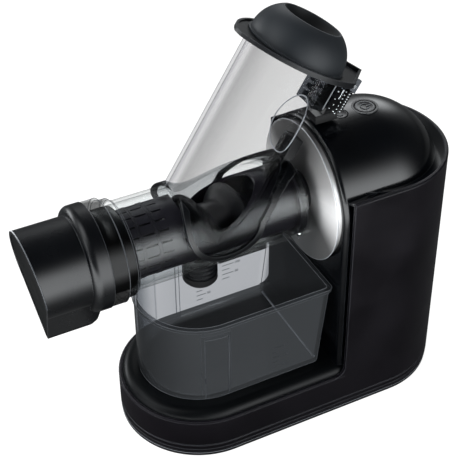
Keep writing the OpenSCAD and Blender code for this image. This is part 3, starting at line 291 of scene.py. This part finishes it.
def surface(name, colour, rough, *, metal=0.0, spec=0.5, grain=0.6 * MM, bump=0.15, vary=0.25,
            smudge=0.08, coat=0.0, rings=None, brushed=None, bevel=0.0, wear=None):
    """An opaque material with fine grain, uneven tone and uneven gloss, in object space.

    rings: an axis along X by its height, the pitch and depth of turned rings round it.
    brushed: how the grain is drawn out along X, Y and Z.
    wear: the width, colour and strength of the paler edges: worn by handling, and a painted
    highlight along them.
    Returns the material with its nodes, shader and object coordinates.
    """
    mat, n = new_material(name)
    at = n.add("ShaderNodeTexCoord").outputs["Object"]
    broad = n.out("ShaderNodeTexNoise", Vector=at, Scale=PATCHES, Detail=3.0)
    low = tuple(c * (1 - vary) for c in colour)
    high = tuple(min(1, c * (1 + vary)) for c in colour)
    base = n.ramp(broad, [(0.3, low), (0.7, high)])
    gloss = n.rescale(broad, 0.35, 0.65, max(0.02, rough - smudge), min(1, rough + smudge))
    if rings:
        axis_z, pitch, bump = rings
        flat = n.vector("MULTIPLY", n.vector("SUBTRACT", at, (0, 0, axis_z)), (0, 1, 1))
        height = n.out("ShaderNodeTexNoise", {"noise_dimensions": "1D"}, Scale=1 / pitch,
                       W=n.vector("LENGTH", flat), Detail=4.0, Roughness=0.7)
    else:
        drawn_out = n.out("ShaderNodeMapping", Vector=at, Scale=brushed) if brushed else at
        height = n.out("ShaderNodeTexNoise", Vector=drawn_out, Scale=1 / grain, Detail=2.0)
    # paler edges: worn by handling, and a painted highlight where they catch the light
    if wear:
        width, pale, most = wear
        soft = n.out("ShaderNodeBevel", {"samples": 6}, Radius=width)
        true = n.add("ShaderNodeNewGeometry").outputs["Normal"]
        same = n.vector("DOT_PRODUCT", soft, true)
        base = n.mix(n.rescale(same, WEAR_SHEEN_BEGINS, WEAR_SHEEN_FULL, 0, most), base, (*pale, 1))
    sockets = dict(Height=height, Strength=bump, Distance=BUMP_HEIGHT)
    if bevel:
        sockets["Normal"] = n.out("ShaderNodeBevel", {"samples": 4}, Radius=bevel)
    bsdf = n.add("ShaderNodeBsdfPrincipled", Base_Color=base, Roughness=gloss, Metallic=metal,
                 IOR=1.5, Specular_IOR_Level=spec, Normal=n.out("ShaderNodeBump", **sockets),
                 Coat_Weight=coat, Coat_Roughness=0.05)
    n.add("ShaderNodeOutputMaterial", Surface=bsdf.outputs[0])
    return mat, n, bsdf, at


def opaque(name, colour, rough, **settings):
    return surface(name, rgb(colour), rough, **settings)[0]


def base_colour(bsdf):
    """What is linked to a shader's base colour now."""
    return bsdf.inputs["Base Color"].links[0].from_socket


FILM_ROUGH, FILM_ROUGHER = 0.03, 0.08


def clear(name, face_on, edge_on, line, shine, line_at, *, steep_shine=0.6, haze_glow=0.0, shade=None):
    """A film of clear or smoked plastic.

    It tints what is behind it, from face_on to edge_on, and shows a line where it is seen from
    the side beyond line_at. It shines by Schlick's rule: shine, plus steep_shine edge on.
    haze_glow: a painted glow that its walls across Y give off, standing in for haze. shade(n, at):
    painted shade, its share of light by place.
    """
    face_on, edge_on, line = rgb(face_on), rgb(edge_on), rgb(line)
    mat, n = new_material(name)
    at = n.add("ShaderNodeTexCoord").outputs["Object"]
    broad = n.out("ShaderNodeTexNoise", Vector=at, Scale=25.0, Detail=2.0)
    gloss = n.rescale(broad, 0.4, 0.7, FILM_ROUGH, FILM_ROUGHER)
    wave = n.out("ShaderNodeBump", Height=broad, Strength=0.03, Distance=2 * MM)
    facing = n.add("ShaderNodeLayerWeight", Blend=0.5).outputs["Facing"]
    between = tuple(0.7 * f + 0.3 * e for f, e in zip(face_on, edge_on))
    tint = n.ramp(facing, [(0.0, face_on), (0.5, between), (0.7, edge_on), (line_at, edge_on),
                           (line_at + 0.06, line), (1.0, line)])
    if shade:
        tint = n.mix(1.0, tint, shade(n, at), "MULTIPLY")
    film = n.out("ShaderNodeBsdfTransparent", Color=tint)
    glossy = n.out("ShaderNodeBsdfGlossy", Color=WHITE, Roughness=gloss, Normal=wave)
    steep = n.math("POWER", facing, 5.0)
    share = n.math("MULTIPLY_ADD", steep, steep_shine, shine, clamp=True)
    shown = n.mix_shaders(share, film, glossy)
    # painted glow: the walls give off a faint light of their own, standing in for haze
    if haze_glow:
        normal = n.add("ShaderNodeTexCoord").outputs["Normal"]
        side = n.math("ABSOLUTE", n.add("ShaderNodeSeparateXYZ", Vector=normal).outputs[1])
        strength = n.rescale(side, 0.0, 0.9, 0.2 * haze_glow, haze_glow)
        painted_glow = n.out("ShaderNodeEmission", Color=(0.86, 0.93, 1.0, 1), Strength=strength)
        shown = n.out("ShaderNodeAddShader", i0=shown, i1=painted_glow)
    n.add("ShaderNodeOutputMaterial", Surface=shown)
    return mat


# ---- Looks of single parts --------------------------------------------------

# Painted highlights and shade on the trim disc, in its colour: two fans of light round its axis,
# as
# turned metal shows under soft boxes: a broad one on the near side and a narrow one on the far
# side, with a faint glow at its foot and painted shade between, by the share of a turn from the
# near side, downwards first
FAN_DIM, FAN_FOOT = 0.11, 0.155
FAN = [(0.0, 0.86), (0.06, 0.28), (0.085, FAN_DIM), (0.25, FAN_FOOT), (0.4, FAN_DIM), (0.5, 0.7),
       (0.6, FAN_DIM), (0.78, FAN_DIM), (0.9, 0.5), (0.95, 1.0), (0.975, 1.0), (1.0, 0.86)]

# A soft streak of painted shade along the feed tube near one edge, which clears slowly towards the
# other, by the share of the tube's width
TUBE_PAINTED_STREAKS = [(0.0, 0.99), (0.1, 0.99), (0.145, 0.875), (0.4, 0.945), (1.0, 0.995)]
TUBE_ACROSS = (10.7, -9.47, 0)  # in the tube's frame: adds up to 1 over the tube's width


def spun_metal():
    """Metal turned on a lathe: fine rings, with painted fan highlights across them."""
    mat, n, bsdf, at = surface("spun_metal", rgb("#ffffff"), 0.32, metal=0.35,
                               rings=(AXIS_Z, 0.9 * MM, 0.05), smudge=0.03, vary=0.05)
    tangent = n.out("ShaderNodeTangent", {"direction_type": "RADIAL", "axis": "X"})
    bsdf.inputs["Anisotropic"].default_value = 0.6
    n.tree.links.new(tangent, bsdf.inputs["Tangent"])
    place = n.add("ShaderNodeSeparateXYZ", Vector=at).outputs
    angle = n.math("ARCTAN2", n.math("SUBTRACT", place[2], AXIS_Z), place[1])
    # painted highlights and shade: the colour is scaled by the angle round the disc's axis
    fan = n.ramp(n.rescale(angle, -math.pi, math.pi), FAN)
    lit = n.mix(1.0, fan, base_colour(bsdf), "MULTIPLY")
    n.tree.links.new(lit, bsdf.inputs["Base Color"])
    return mat


def collar_shade(n, at):
    """Painted shade: the drum's collar in front is tinted dark inside, except at its top."""
    place = n.add("ShaderNodeSeparateXYZ", Vector=at).outputs
    top = n.rescale(place[2], AXIS_Z + 22 * MM, AXIS_Z + 32 * MM, 0.16, 1.0)
    behind = n.rescale(place[0], -102.5 * MM, -100 * MM)
    return n.math("MAXIMUM", top, behind)


def in_tube_frame(n, at):
    """The same place in TUBE_FRAME."""
    return n.out("ShaderNodeMapping", {"vector_type": "TEXTURE"}, Vector=at,
                 Location=tuple(TUBE_FOOT), Rotation=(0, LEAN, 0))


def tube_shade(n, at):
    """Painted streaks of shade along the feed tube, darkest a little way in from one rim."""
    across = n.vector("DOT_PRODUCT", in_tube_frame(n, at), TUBE_ACROSS)
    return n.ramp(n.math("ADD", across, 0.5), TUBE_PAINTED_STREAKS)


def pusher_look():
    """Satin black, with painted shade in the hollow in its top, which gets little light."""
    mat, n, bsdf, at = surface("pusher_satin", rgb("#171a1d"), 0.5, spec=0.3, bump=0.05,
                               smudge=0.05, vary=0.1, bevel=0.8 * MM,
                               wear=(0.6 * MM, rgb("#3f4347"), 0.7))
    off = n.vector("SUBTRACT", in_tube_frame(n, at), (BELL_SHIFT, 0, 0))
    radius = n.vector("LENGTH", n.vector("MULTIPLY", off, (1, 1, 0)))
    # painted shade: the hollow in the top is darkened towards near black
    inside = n.rescale(radius, 21 * MM, HOLLOW_R, 1.0, 0.0)
    tone = n.mix(inside, base_colour(bsdf), (*rgb("#050607"), 1))
    n.tree.links.new(tone, bsdf.inputs["Base Color"])
    return mat


def cap_rim_look():
    """The cap's rim: a painted highlight, paler where its inner lip faces the light."""
    mat, n, bsdf, at = surface("cap_rim", rgb("#8f9296"), 0.35, spec=0.4, bump=0.02)
    place = n.add("ShaderNodeSeparateXYZ", Vector=at).outputs
    tone = n.ramp(n.rescale(place[1], -36 * MM, 36 * MM),
                  [(0.0, rgb("#34373b")), (0.45, rgb("#4a4d51")), (0.8, rgb("#b0b3b6")),
                   (1.0, rgb("#8f9296"))])
    n.tree.links.new(tone, bsdf.inputs["Base Color"])
    return mat


# By material slot
MATERIALS = {
    "casing_matte": opaque("casing_matte", "#09070b", 0.42, spec=0.17, grain=0.5 * MM, bump=0.1,
                           bevel=1.8 * MM, wear=(0.9 * MM, rgb("#4b4d52"), 0.8)),
    "cover_gloss": opaque("cover_gloss", "#020305", 0.2, spec=0.42, grain=2 * MM, bump=0.01,
                          smudge=0.03, wear=(0.6 * MM, rgb("#44474b"), 0.6)),
    "black_satin": opaque("black_satin", "#050608", 0.28, spec=0.36, grain=0.7 * MM, bump=0.04,
                          smudge=0.04, bevel=0.8 * MM, wear=(0.5 * MM, rgb("#484b4f"), 0.7)),
    "spun_metal": spun_metal(),
    "chrome": opaque("chrome", "#e8eaec", 0.06, metal=1.0, bump=0.01, smudge=0.02, vary=0.03),
    "steel": opaque("steel", "#b4b7ba", 0.3, metal=1.0, brushed=(1, 12, 12), bump=0.08, vary=0.08),
    "inner_plastic": opaque("inner_plastic", "#0e0e10", 0.5, spec=0.2),
    "gear_plastic": opaque("gear_plastic", "#d6cfba", 0.42, spec=0.4, bump=0.06),
    "rotor": opaque("rotor", "#8c4b2a", 0.38, metal=0.7, brushed=(1, 20, 20), bump=0.2),
    "board": opaque("board", "#1f5a34", 0.4, coat=0.3),
    "rubber": opaque("rubber", "#0a0a0b", 0.6, spec=0.25, bump=0.3, grain=0.4 * MM),
    "seal_rubber": opaque("seal_rubber", "#6b2320", 0.6, spec=0.35),
    "strainer_dark": opaque("strainer_dark", "#131217", 0.3, spec=0.3, bump=0.0, vary=0.15,
                            smudge=0.04),
    "auger_dark": opaque("auger_dark", "#0c0d0f", 0.35, spec=0.3, bump=0.05),
    "grip_silver": opaque("grip_silver", "#c2c5c8", 0.22, metal=0.9, bump=0.04),
    "jug_clear": clear("jug_clear", "#d0d1d3", "#a6a9ad", "#3a3d41", 0.02, 0.8, haze_glow=0.03),
}

# By node, where a part differs from its slot's plain finish or has painted light and shade of its
# own
NODE_LOOKS = {
    "deck": opaque("deck_satin", "#040506", 0.34, spec=0.14, grain=0.7 * MM, bump=0.04,
                   smudge=0.04, wear=(0.6 * MM, rgb("#44474b"), 0.6)),
    "drum": clear("drum_clear", "#f8f9f9", "#f6f7f7", "#303236", 0.012, 0.94, shade=collar_shade),
    "feed_tube": clear("tube_clear", "#f4f4f4", "#e9e9ea", "#505357", 0.001, 0.86,
                       steep_shine=0.16, shade=tube_shade),
    "drum_saddle": clear("saddle_clear", "#e6e7e8", "#d8dadb", "#303236", 0.006, 0.88),
    "latch_housing": clear("latch_smoked", "#9a9da1", "#85888c", "#1c1e21", 0.02, 0.8),
    "lock_lever": opaque("lever_gloss", "#020203", 0.16, spec=0.3, bump=0.01, smudge=0.03),
    "lever_grip": opaque("grip_gloss", "#08090a", 0.16, bump=0.01, smudge=0.03),
    "pusher": pusher_look(),
    "hopper_tray": opaque("tray_satin", "#090a0c", 0.38, spec=0.26, bump=0.05, smudge=0.05,
                          bevel=0.6 * MM, wear=(0.5 * MM, rgb("#54585d"), 0.7)),
    "cap_end_plate": opaque("cap_plate", "#020303", 0.36, spec=0.1, grain=0.7 * MM, bump=0.04,
                            wear=(0.6 * MM, rgb("#3a3d41"), 0.6)),
}

# Colours of thin wires: RIM, SOFT_LINE and GLINT are painted highlights, LINE is painted shade
# where clear plastic bends the light away, PRINT and FAINT_PRINT are print
RIM = opaque("rim", "#4a4d52", 0.4, spec=0.4, bump=0.05)
LINE = opaque("line", "#3b3e42", 0.35, spec=0.4, bump=0.05)
SOFT_LINE = opaque("soft_line", "#6f7276", 0.4, spec=0.4, bump=0.05)
GLINT = opaque("glint", "#9da1a6", 0.3, bump=0.05)
PRINT = opaque("print", "#5c5f63", 0.5, spec=0.3, bump=0.05)
FAINT_PRINT = opaque("faint_print", "#34373a", 0.5, spec=0.3, bump=0.05)


def dress_nodes():
    for part in frame["record"]["subparts"]:
        slots = frame["nodes"][part["node"]].data.materials
        slots.clear()
        slots.append(NODE_LOOKS.get(part["node"]) or MATERIALS[part["material_slot"]])


# ---- Meshes -----------------------------------------------------------------

def piece(name, mesh, body, slot, material=None, place=None):
    """A new object: it rides on a body and takes the given finish, or else its slot's."""
    mesh.name = name
    mesh.materials.clear()
    mesh.materials.append(material or MATERIALS[slot])
    obj = bpy.data.objects.new(name, mesh)
    if place is not None:
        obj.matrix_world = place
    scene.collection.objects.link(obj)
    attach(obj, body)


def mesh_of(bm):
    mesh = bpy.data.meshes.new("mesh")
    bm.to_mesh(mesh)
    bm.free()
    return mesh


def mesh_of_curve(curve):
    holder = bpy.data.objects.new("holder", curve)
    mesh = bpy.data.meshes.new_from_object(holder)
    bpy.data.objects.remove(holder)
    bpy.data.curves.remove(curve)
    return mesh


def smooth(mesh):
    for face in mesh.polygons:
        face.use_smooth = True
    return mesh


def join_meshes(meshes):
    bm = bmesh.new()
    for mesh in meshes:
        bm.from_mesh(mesh)
    return mesh_of(bm)


def wire_mesh(paths, radius, closed=True, sides=2):
    """Round wires along lists of points."""
    curve = bpy.data.curves.new("wire", "CURVE")
    curve.dimensions = "3D"
    curve.bevel_depth = radius
    curve.bevel_resolution = sides
    curve.use_fill_caps = True
    for points in paths:
        line = curve.splines.new("POLY")
        line.points.add(len(points) - 1)
        for spot, point in zip(line.points, points):
            spot.co = (*point, 1)
        line.use_cyclic_u = closed
    return smooth(mesh_of_curve(curve))


def text_mesh(text, height, thick):
    curve = bpy.data.curves.new("text", "FONT")
    curve.body = text
    curve.size = height
    curve.extrude = thick / 2
    return mesh_of_curve(curve)


def box_mesh(boxes, round_by=0.0):
    """Boxes given as (centre, size), with softened edges."""
    bm = bmesh.new()
    for centre, size in boxes:
        place = Matrix.Translation(centre) @ Matrix.Diagonal((*size, 1))
        made = bmesh.ops.create_cube(bm, size=1.0, matrix=place)
        if round_by:
            edges = list({e for v in made["verts"] for e in v.link_edges})
            bmesh.ops.bevel(bm, geom=edges, offset=round_by, segments=2, affect="EDGES",
                            profile=0.6)
    return mesh_of(bm)


def loft_mesh(rings):
    """A closed band through rings of points; the last ring joins the first."""
    bm = bmesh.new()
    rows = [[bm.verts.new(point) for point in ring] for ring in rings]
    for a, b in zip(rows, rows[1:] + rows[:1]):
        for i in range(len(a)):
            j = (i + 1) % len(a)
            bm.faces.new((a[i], b[i], b[j], a[j]))
    bmesh.ops.recalc_face_normals(bm, faces=bm.faces)
    return mesh_of(bm)


def ring_points(centre, radius, axis="X", start=0.0, end=360.0, count=96):
    """Points round a circle about an axis through its centre (angles in degrees)."""
    whole = abs(end - start) >= 360
    steps = count if whole else count + 1
    angles = [math.radians(start + (end - start) * i / count) for i in range(steps)]
    if axis == "X":
        return [Vector(centre) + Vector((0, math.cos(a), math.sin(a))) * radius for a in angles]
    return [Vector(centre) + Vector((math.cos(a), math.sin(a), 0)) * radius for a in angles]


def half_round(centre_x, half, start, steps):
    """Points (mm) of a half circle from a start angle in degrees."""
    angles = (math.radians(start + 180 * i / steps) for i in range(steps + 1))
    return [(centre_x + half * math.cos(a), half * math.sin(a)) for a in angles]


def at_height(points, z):
    """Flat points at a height, from mm to metres."""
    return [Vector((x, y, z)) * MM for x, y in points]


def racetrack(half, z):
    """The body's outline at a height, by half its width (both in mm)."""
    steps = 48
    return at_height(half_round(BODY_FRONT, half, 90, steps)
                     + half_round(BODY_REAR, half, -90, steps), z)


def jug_end(z):
    """Where the jug's leaning end wall is (mm) at a height."""
    return JUG_END - (JUG_TOP - z) * math.tan(JUG_LEAN)


def jug_outline(half, z, inset=0.0, corner=JUG_CORNER):
    """The jug's outline at a height (all in mm): a half round, and two corners at its end wall."""
    end = jug_end(z) - inset
    points = half_round(BODY_FRONT, half, 90, 60)
    steps = 8
    for side, turns in ((-1, range(steps + 1)), (1, range(steps, -1, -1))):
        for i in turns:
            a = math.radians(90 * i / steps)
            points.append((end - corner + corner * math.sin(a),
                           side * (half - corner + corner * math.cos(a))))
    return at_height(points, z)


SAME_SPOT = 2e-6              # corners of two faces this near each other are one
SHARP = math.radians(35)      # faces that turn by this much or more meet in a sharp edge
LEAST_STEP = 0.6 * MM         # between the points of an edge's wire


def sharp_paths(node, keep):
    """Chains of a node's sharp edges, where the middle of each edge passes keep."""
    bm = bmesh.new()
    bm.from_mesh(frame["nodes"][node].data)
    bmesh.ops.remove_doubles(bm, verts=bm.verts, dist=SAME_SPOT)
    links = {}
    for edge in bm.edges:
        if len(edge.link_faces) != 2 or edge.calc_face_angle(0) < SHARP:
            continue
        a, b = edge.verts
        if keep((a.co + b.co) / 2):
            links.setdefault(a.index, set()).add(b.index)
            links.setdefault(b.index, set()).add(a.index)
    bm.verts.ensure_lookup_table()
    spots = {i: bm.verts[i].co.copy() for i in links}
    bm.free()
    paths = []
    # ends and forks first, so that a chain isn't cut in the middle
    for start in sorted(i for i in links if len(links[i]) != 2) + sorted(links):
        while links.get(start):
            chain = [start]
            while links.get(chain[-1]):
                here = chain[-1]
                step = min(links[here])
                links[here].discard(step)
                links[step].discard(here)
                chain.append(step)
                if len(links[step]) != 1 and step != start:
                    break
            closed = chain[0] == chain[-1] and len(chain) > 3
            paths.append(([spots[i] for i in (chain[:-1] if closed else chain)], closed))
    return paths


def edge_mesh(node, radius, keep, shortest=4 * MM):
    """Thin wires along a node's sharp edges, leaving out the shortest chains."""
    meshes = []
    for points, closed in sharp_paths(node, keep):
        thinned = [points[0]]
        for point in points[1:]:
            if (point - thinned[-1]).length > LEAST_STEP:
                thinned.append(point)
        length = sum((b - a).length for a, b in zip(thinned, thinned[1:]))
        if length > shortest:
            meshes.append(wire_mesh([thinned], radius, closed=closed, sides=1))
    return join_meshes(meshes)


# ---- Fine pieces ------------------------------------------------------------

def add_strainer_rings():
    xs = (-114, -110.5, -101, -93, -91, -80, -77.5)
    paths = [ring_points((x * MM, 0, AXIS_Z), STRAINER_R + 0.12 * MM) for x in xs]
    piece("strainer_rings", wire_mesh(paths, 0.28 * MM), "juicing_unit", "auger_dark")


def add_jug_marks():
    """Ticks and plain numbers, printed just outside both long walls."""
    # a column, in mm: start along x, lowest mark, how many, pitch, longest tick
    far = [(9, 74.5, 10, 4.9, 11), (-16, 60, 3, 4.9, 9)]
    near = [(3, 56, 6, 5.2, 9)]
    thick = 0.2 * MM
    for name, side, columns, ink in (("far", 1, far, PRINT), ("near", -1, near, FAINT_PRINT)):
        y = side * (JUG_HALF + 0.22) * MM
        meshes = []
        for x0, low, count, pitch, longest in columns:
            for i in range(count):
                z = (low + i * pitch) * MM
                width = longest * (1.0 if i % 2 else 0.62) * MM
                centre = (x0 * MM + width / 2, y, z)
                meshes.append(box_mesh([(centre, (width, thick, 0.5 * MM))]))
                if i % 2:
                    text = text_mesh(str(25 * (i + 1)), 3.4 * MM, thick)
                    at = Matrix.Translation(((x0 + longest + 1) * MM, y, z - 1.1 * MM))
                    text.transform(at @ Matrix.Rotation(math.radians(90), 4, "X"))
                    meshes.append(text)
        piece("jug_marks_" + name, join_meshes(meshes), "jug", "grip_silver", ink)


def add_tube_bead():
    """The egg-shaped bead on the rear of the feed tube, in the pale colour of a painted glint."""
    radius = TUBE_R + 0.2 * MM
    middle, half_length, half_width = 101, 24, 16.5  # mm, along the tube and round it
    taper = 0.12
    count = 96
    points = []
    for i in range(count):
        a = 2 * math.pi * i / count
        along = (middle + half_length * math.sin(a)) * MM
        turn = half_width * math.cos(a) * (1 - taper * math.sin(a)) * MM / radius
        points.append(Vector((radius * math.cos(turn), radius * math.sin(turn), along)))
    piece("tube_bead", wire_mesh([points], 0.5 * MM), "juicing_unit", "clear", GLINT, TUBE_FRAME)


def add_grip_beads():
    """Small beads and a strip of bright metal on the clip's sides and its grip."""
    # beads in the tube's frame, in mm: out from the axis, across, along, radius
    spots = [(67.9, v, 125.5 + i * 2.3, 0.9) for i in range(8) for v in (-5.6, -1.9, 1.9, 5.6)]
    loose = [(54.6, 139.4, 0.7), (56.2, 142.6, 0.8), (55.4, 133.0, 0.55), (57.0, 128.4, 0.7),
             (60.0, 123.2, 0.9), (62.6, 121.8, 0.8), (54.8, 124.6, 0.6), (56.4, 146.2, 0.6)]
    for v in (-7.7, 7.7):
        spots += [(66.2, v, 124.6 + i * 2.2, 0.75) for i in range(9)]
        spots += [(62.0, v, 125.6 + i * 3.1, 0.6) for i in range(6)]
        spots += [(u, v, s, r) for u, s, r in loose]
    bm = bmesh.new()
    for u, v, s, radius in spots:
        bmesh.ops.create_icosphere(bm, subdivisions=2, radius=radius * MM,
                                   matrix=Matrix.Translation(Vector((u, v, s)) * MM))
    strip = Vector((1.3, 0.4, 11.5)) * MM
    strips = box_mesh([(Vector((59.0, v, 139.4)) * MM, strip) for v in (-7.75, 7.75)], 0.15 * MM)
    mesh = smooth(join_meshes([mesh_of(bm), strips]))
    piece("grip_beads", mesh, "locking_clip", "grip_silver", None, TUBE_FRAME)
    # pale wires on the latch housing's edges: painted highlights
    edges = [[Vector((46.6, v, s)) * MM for s in (123, 151)] for v in (-10.9, 10.9)]
    piece("latch_edges", wire_mesh(edges, 0.5 * MM, closed=False), "juicing_unit", "smoked_clear",
          SOFT_LINE, TUBE_FRAME)


def add_button_symbols():
    """A power symbol with a ring on the large button, an open arc on the small one."""
    arc_r, bar_at, bar_length, ring_r = 0.42, 0.36, 0.46, 0.78  # shares of the button's radius
    for name, start, end in (("power_button", 40, 320), ("reverse_button", 60, 300)):
        low, high = (Vector(corner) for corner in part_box(name))
        mid = (low + high) / 2
        top = high.z + 0.02 * MM
        reach = (high.x - low.x) / 2
        arc = ring_points((mid.x, mid.y, top), reach * arc_r, "Z", start, end, 40)
        meshes = [wire_mesh([arc], 0.3 * MM, closed=False)]
        if name == "power_button":
            bar = ((mid.x + reach * bar_at, mid.y, top), (reach * bar_length, 0.6 * MM, 0.4 * MM))
            ring = ring_points((mid.x, mid.y, top - 0.1 * MM), reach * ring_r, "Z")
            meshes += [box_mesh([bar]), wire_mesh([ring], 0.2 * MM)]
        piece(name + "_symbol", join_meshes(meshes), name, "grip_silver", PRINT)


def add_collar_liner():
    """A dark sleeve behind the drum's clear collar."""
    # x and radius, in mm
    profile = ((-121.5, 32.3), (-121.5, 32.7), (-103, 32.7), (-102, 32.3), (-102, 31.8),
               (-121.5, 31.8))
    rings = [ring_points((x * MM, 0, AXIS_Z), r * MM, count=72) for x, r in profile]
    piece("collar_liner", smooth(loft_mesh(rings)), "juicing_unit", "black_satin")


def add_jug_flute_lines():
    """Lines along the near flute, where clear plastic bends the light away."""
    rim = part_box("juice_jug")[1][2]
    mesh = edge_mesh("juice_jug", 0.25 * MM,
                     lambda mid: 60 * MM < mid.z < rim - 4 * MM and mid.y < -40 * MM)
    piece("jug_lines", mesh, "jug", "jug_clear", LINE)


def on_collar(mid):
    """Whether a point is on the outside of the drum's front collar."""
    return mid.x < COLLAR_REAR and math.hypot(mid.y, mid.z - AXIS_Z) > DRUM_R


def add_drum_lines():
    # dark lines of painted shade along the collar's sharp edges, where clear plastic bends the
    # light away
    mesh = edge_mesh("drum", 0.22 * MM, on_collar)
    piece("drum_lines", mesh, "juicing_unit", "smoked_clear", LINE)


def on_cap_rim(mid):
    """Whether a point is on the outer edge of the pulp cap's end face, or at its chute's foot."""
    reach = math.hypot(mid.y, max(0, mid.z - AXIS_Z))
    return mid.x < CAP_FACE_X and reach > CAP_FACE_R or mid.z < CAP_FOOT_Z


def add_cap_rim():
    # a pale wire along the end face's outer edge and the chute's foot: a painted highlight, paler
    # on one side
    mesh = edge_mesh("end_cap", 0.5 * MM, on_cap_rim, shortest=10 * MM)
    inwards = 0.52 * MM  # so that the wire stays behind the end face
    mesh.transform(Matrix.Translation((inwards, 0, 0)))
    piece("cap_rim_line", mesh, "pulp_cap", "black_satin", cap_rim_look())


def add_jug_lines():
    """Rim, lip, foot and upright edges of the jug in dark lines of painted shade, its inner edges
    in light ones of painted highlight.
    """
    rim = wire_mesh([jug_outline(JUG_LIP_HALF, 125.8)], 0.32 * MM)
    lip = wire_mesh([jug_outline(JUG_LIP_HALF, 123.1)], 0.14 * MM, sides=1)
    foot = wire_mesh([jug_outline(50.8, 49.0, 0.8)], 0.22 * MM, sides=1)
    corners = [[Vector((jug_end(z) - 3.0, y, z)) * MM for z in range(50, 124, 6)]
               for y in (-50.2, 50.2)]
    uprights = wire_mesh(corners, 0.28 * MM, closed=False, sides=1)
    piece("jug_edge_lines", join_meshes([rim, lip, foot, uprights]), "jug", "jug_clear", LINE)
    inner_rim = wire_mesh([jug_outline(49.4, 125.9, inset=3.4, corner=3.0)], 0.2 * MM)
    across = [Vector((45.6, y, 49.6)) * MM for y in range(-46, 47, 4)]
    inner_foot = wire_mesh([across], 1.1 * MM, closed=False)
    piece("jug_light_lines", join_meshes([inner_rim, inner_foot]), "jug", "jug_clear", SOFT_LINE)


def add_disc_edge():
    """A painted glint: a bright wire along the trim disc's edge."""
    low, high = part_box("trim_disc")
    radius = (high[1] - low[1]) / 2 - 0.1 * MM
    points = ring_points((low[0] + 0.5 * MM, 0, AXIS_Z), radius, count=160)
    piece("disc_edge", wire_mesh([points], 0.35 * MM), "base", "chrome", GLINT)


def add_base_ring():
    """The plinth's foot: a band just inside the casing's edge, with a painted highlight line on
    it.
    """
    # half the width and the height, in mm
    profile = [(67.4, 0.6), (67.4, 3.2), (66.8, 3.8), (64.4, 3.8), (64.4, 0.6), (66.9, 0.3)]
    band = loft_mesh([racetrack(half, z) for half, z in profile])
    piece("base_ring", band, "base", "casing_matte")
    line = wire_mesh([racetrack(67.5, 3.3)], 0.25 * MM, sides=1)
    piece("base_line", line, "base", "casing_matte", SOFT_LINE)


def add_bell_ring():
    """The thin raised rim round the hollow in the pusher's top, pale with a painted highlight."""
    back = TUBE_FRAME.inverted()
    top = max((back @ v.co).z for v in frame["nodes"]["pusher"].data.vertices)
    points = ring_points((BELL_SHIFT, 0, top - 0.4 * MM), HOLLOW_R + 0.3 * MM, "Z")
    piece("bell_ring", wire_mesh([points], 0.45 * MM), "pusher", "black_satin", RIM, TUBE_FRAME)


if __name__ == "__main__":
    add_camera()
    add_world()
    add_floor()
    for lamp in LAMPS:
        add_lamp(*lamp)
    dress_nodes()
    add_strainer_rings()
    add_jug_marks()
    add_tube_bead()
    add_grip_beads()
    add_button_symbols()
    add_collar_liner()
    add_jug_flute_lines()
    add_drum_lines()
    add_cap_rim()
    add_jug_lines()
    add_disc_edge()
    add_base_ring()
    add_bell_ring()
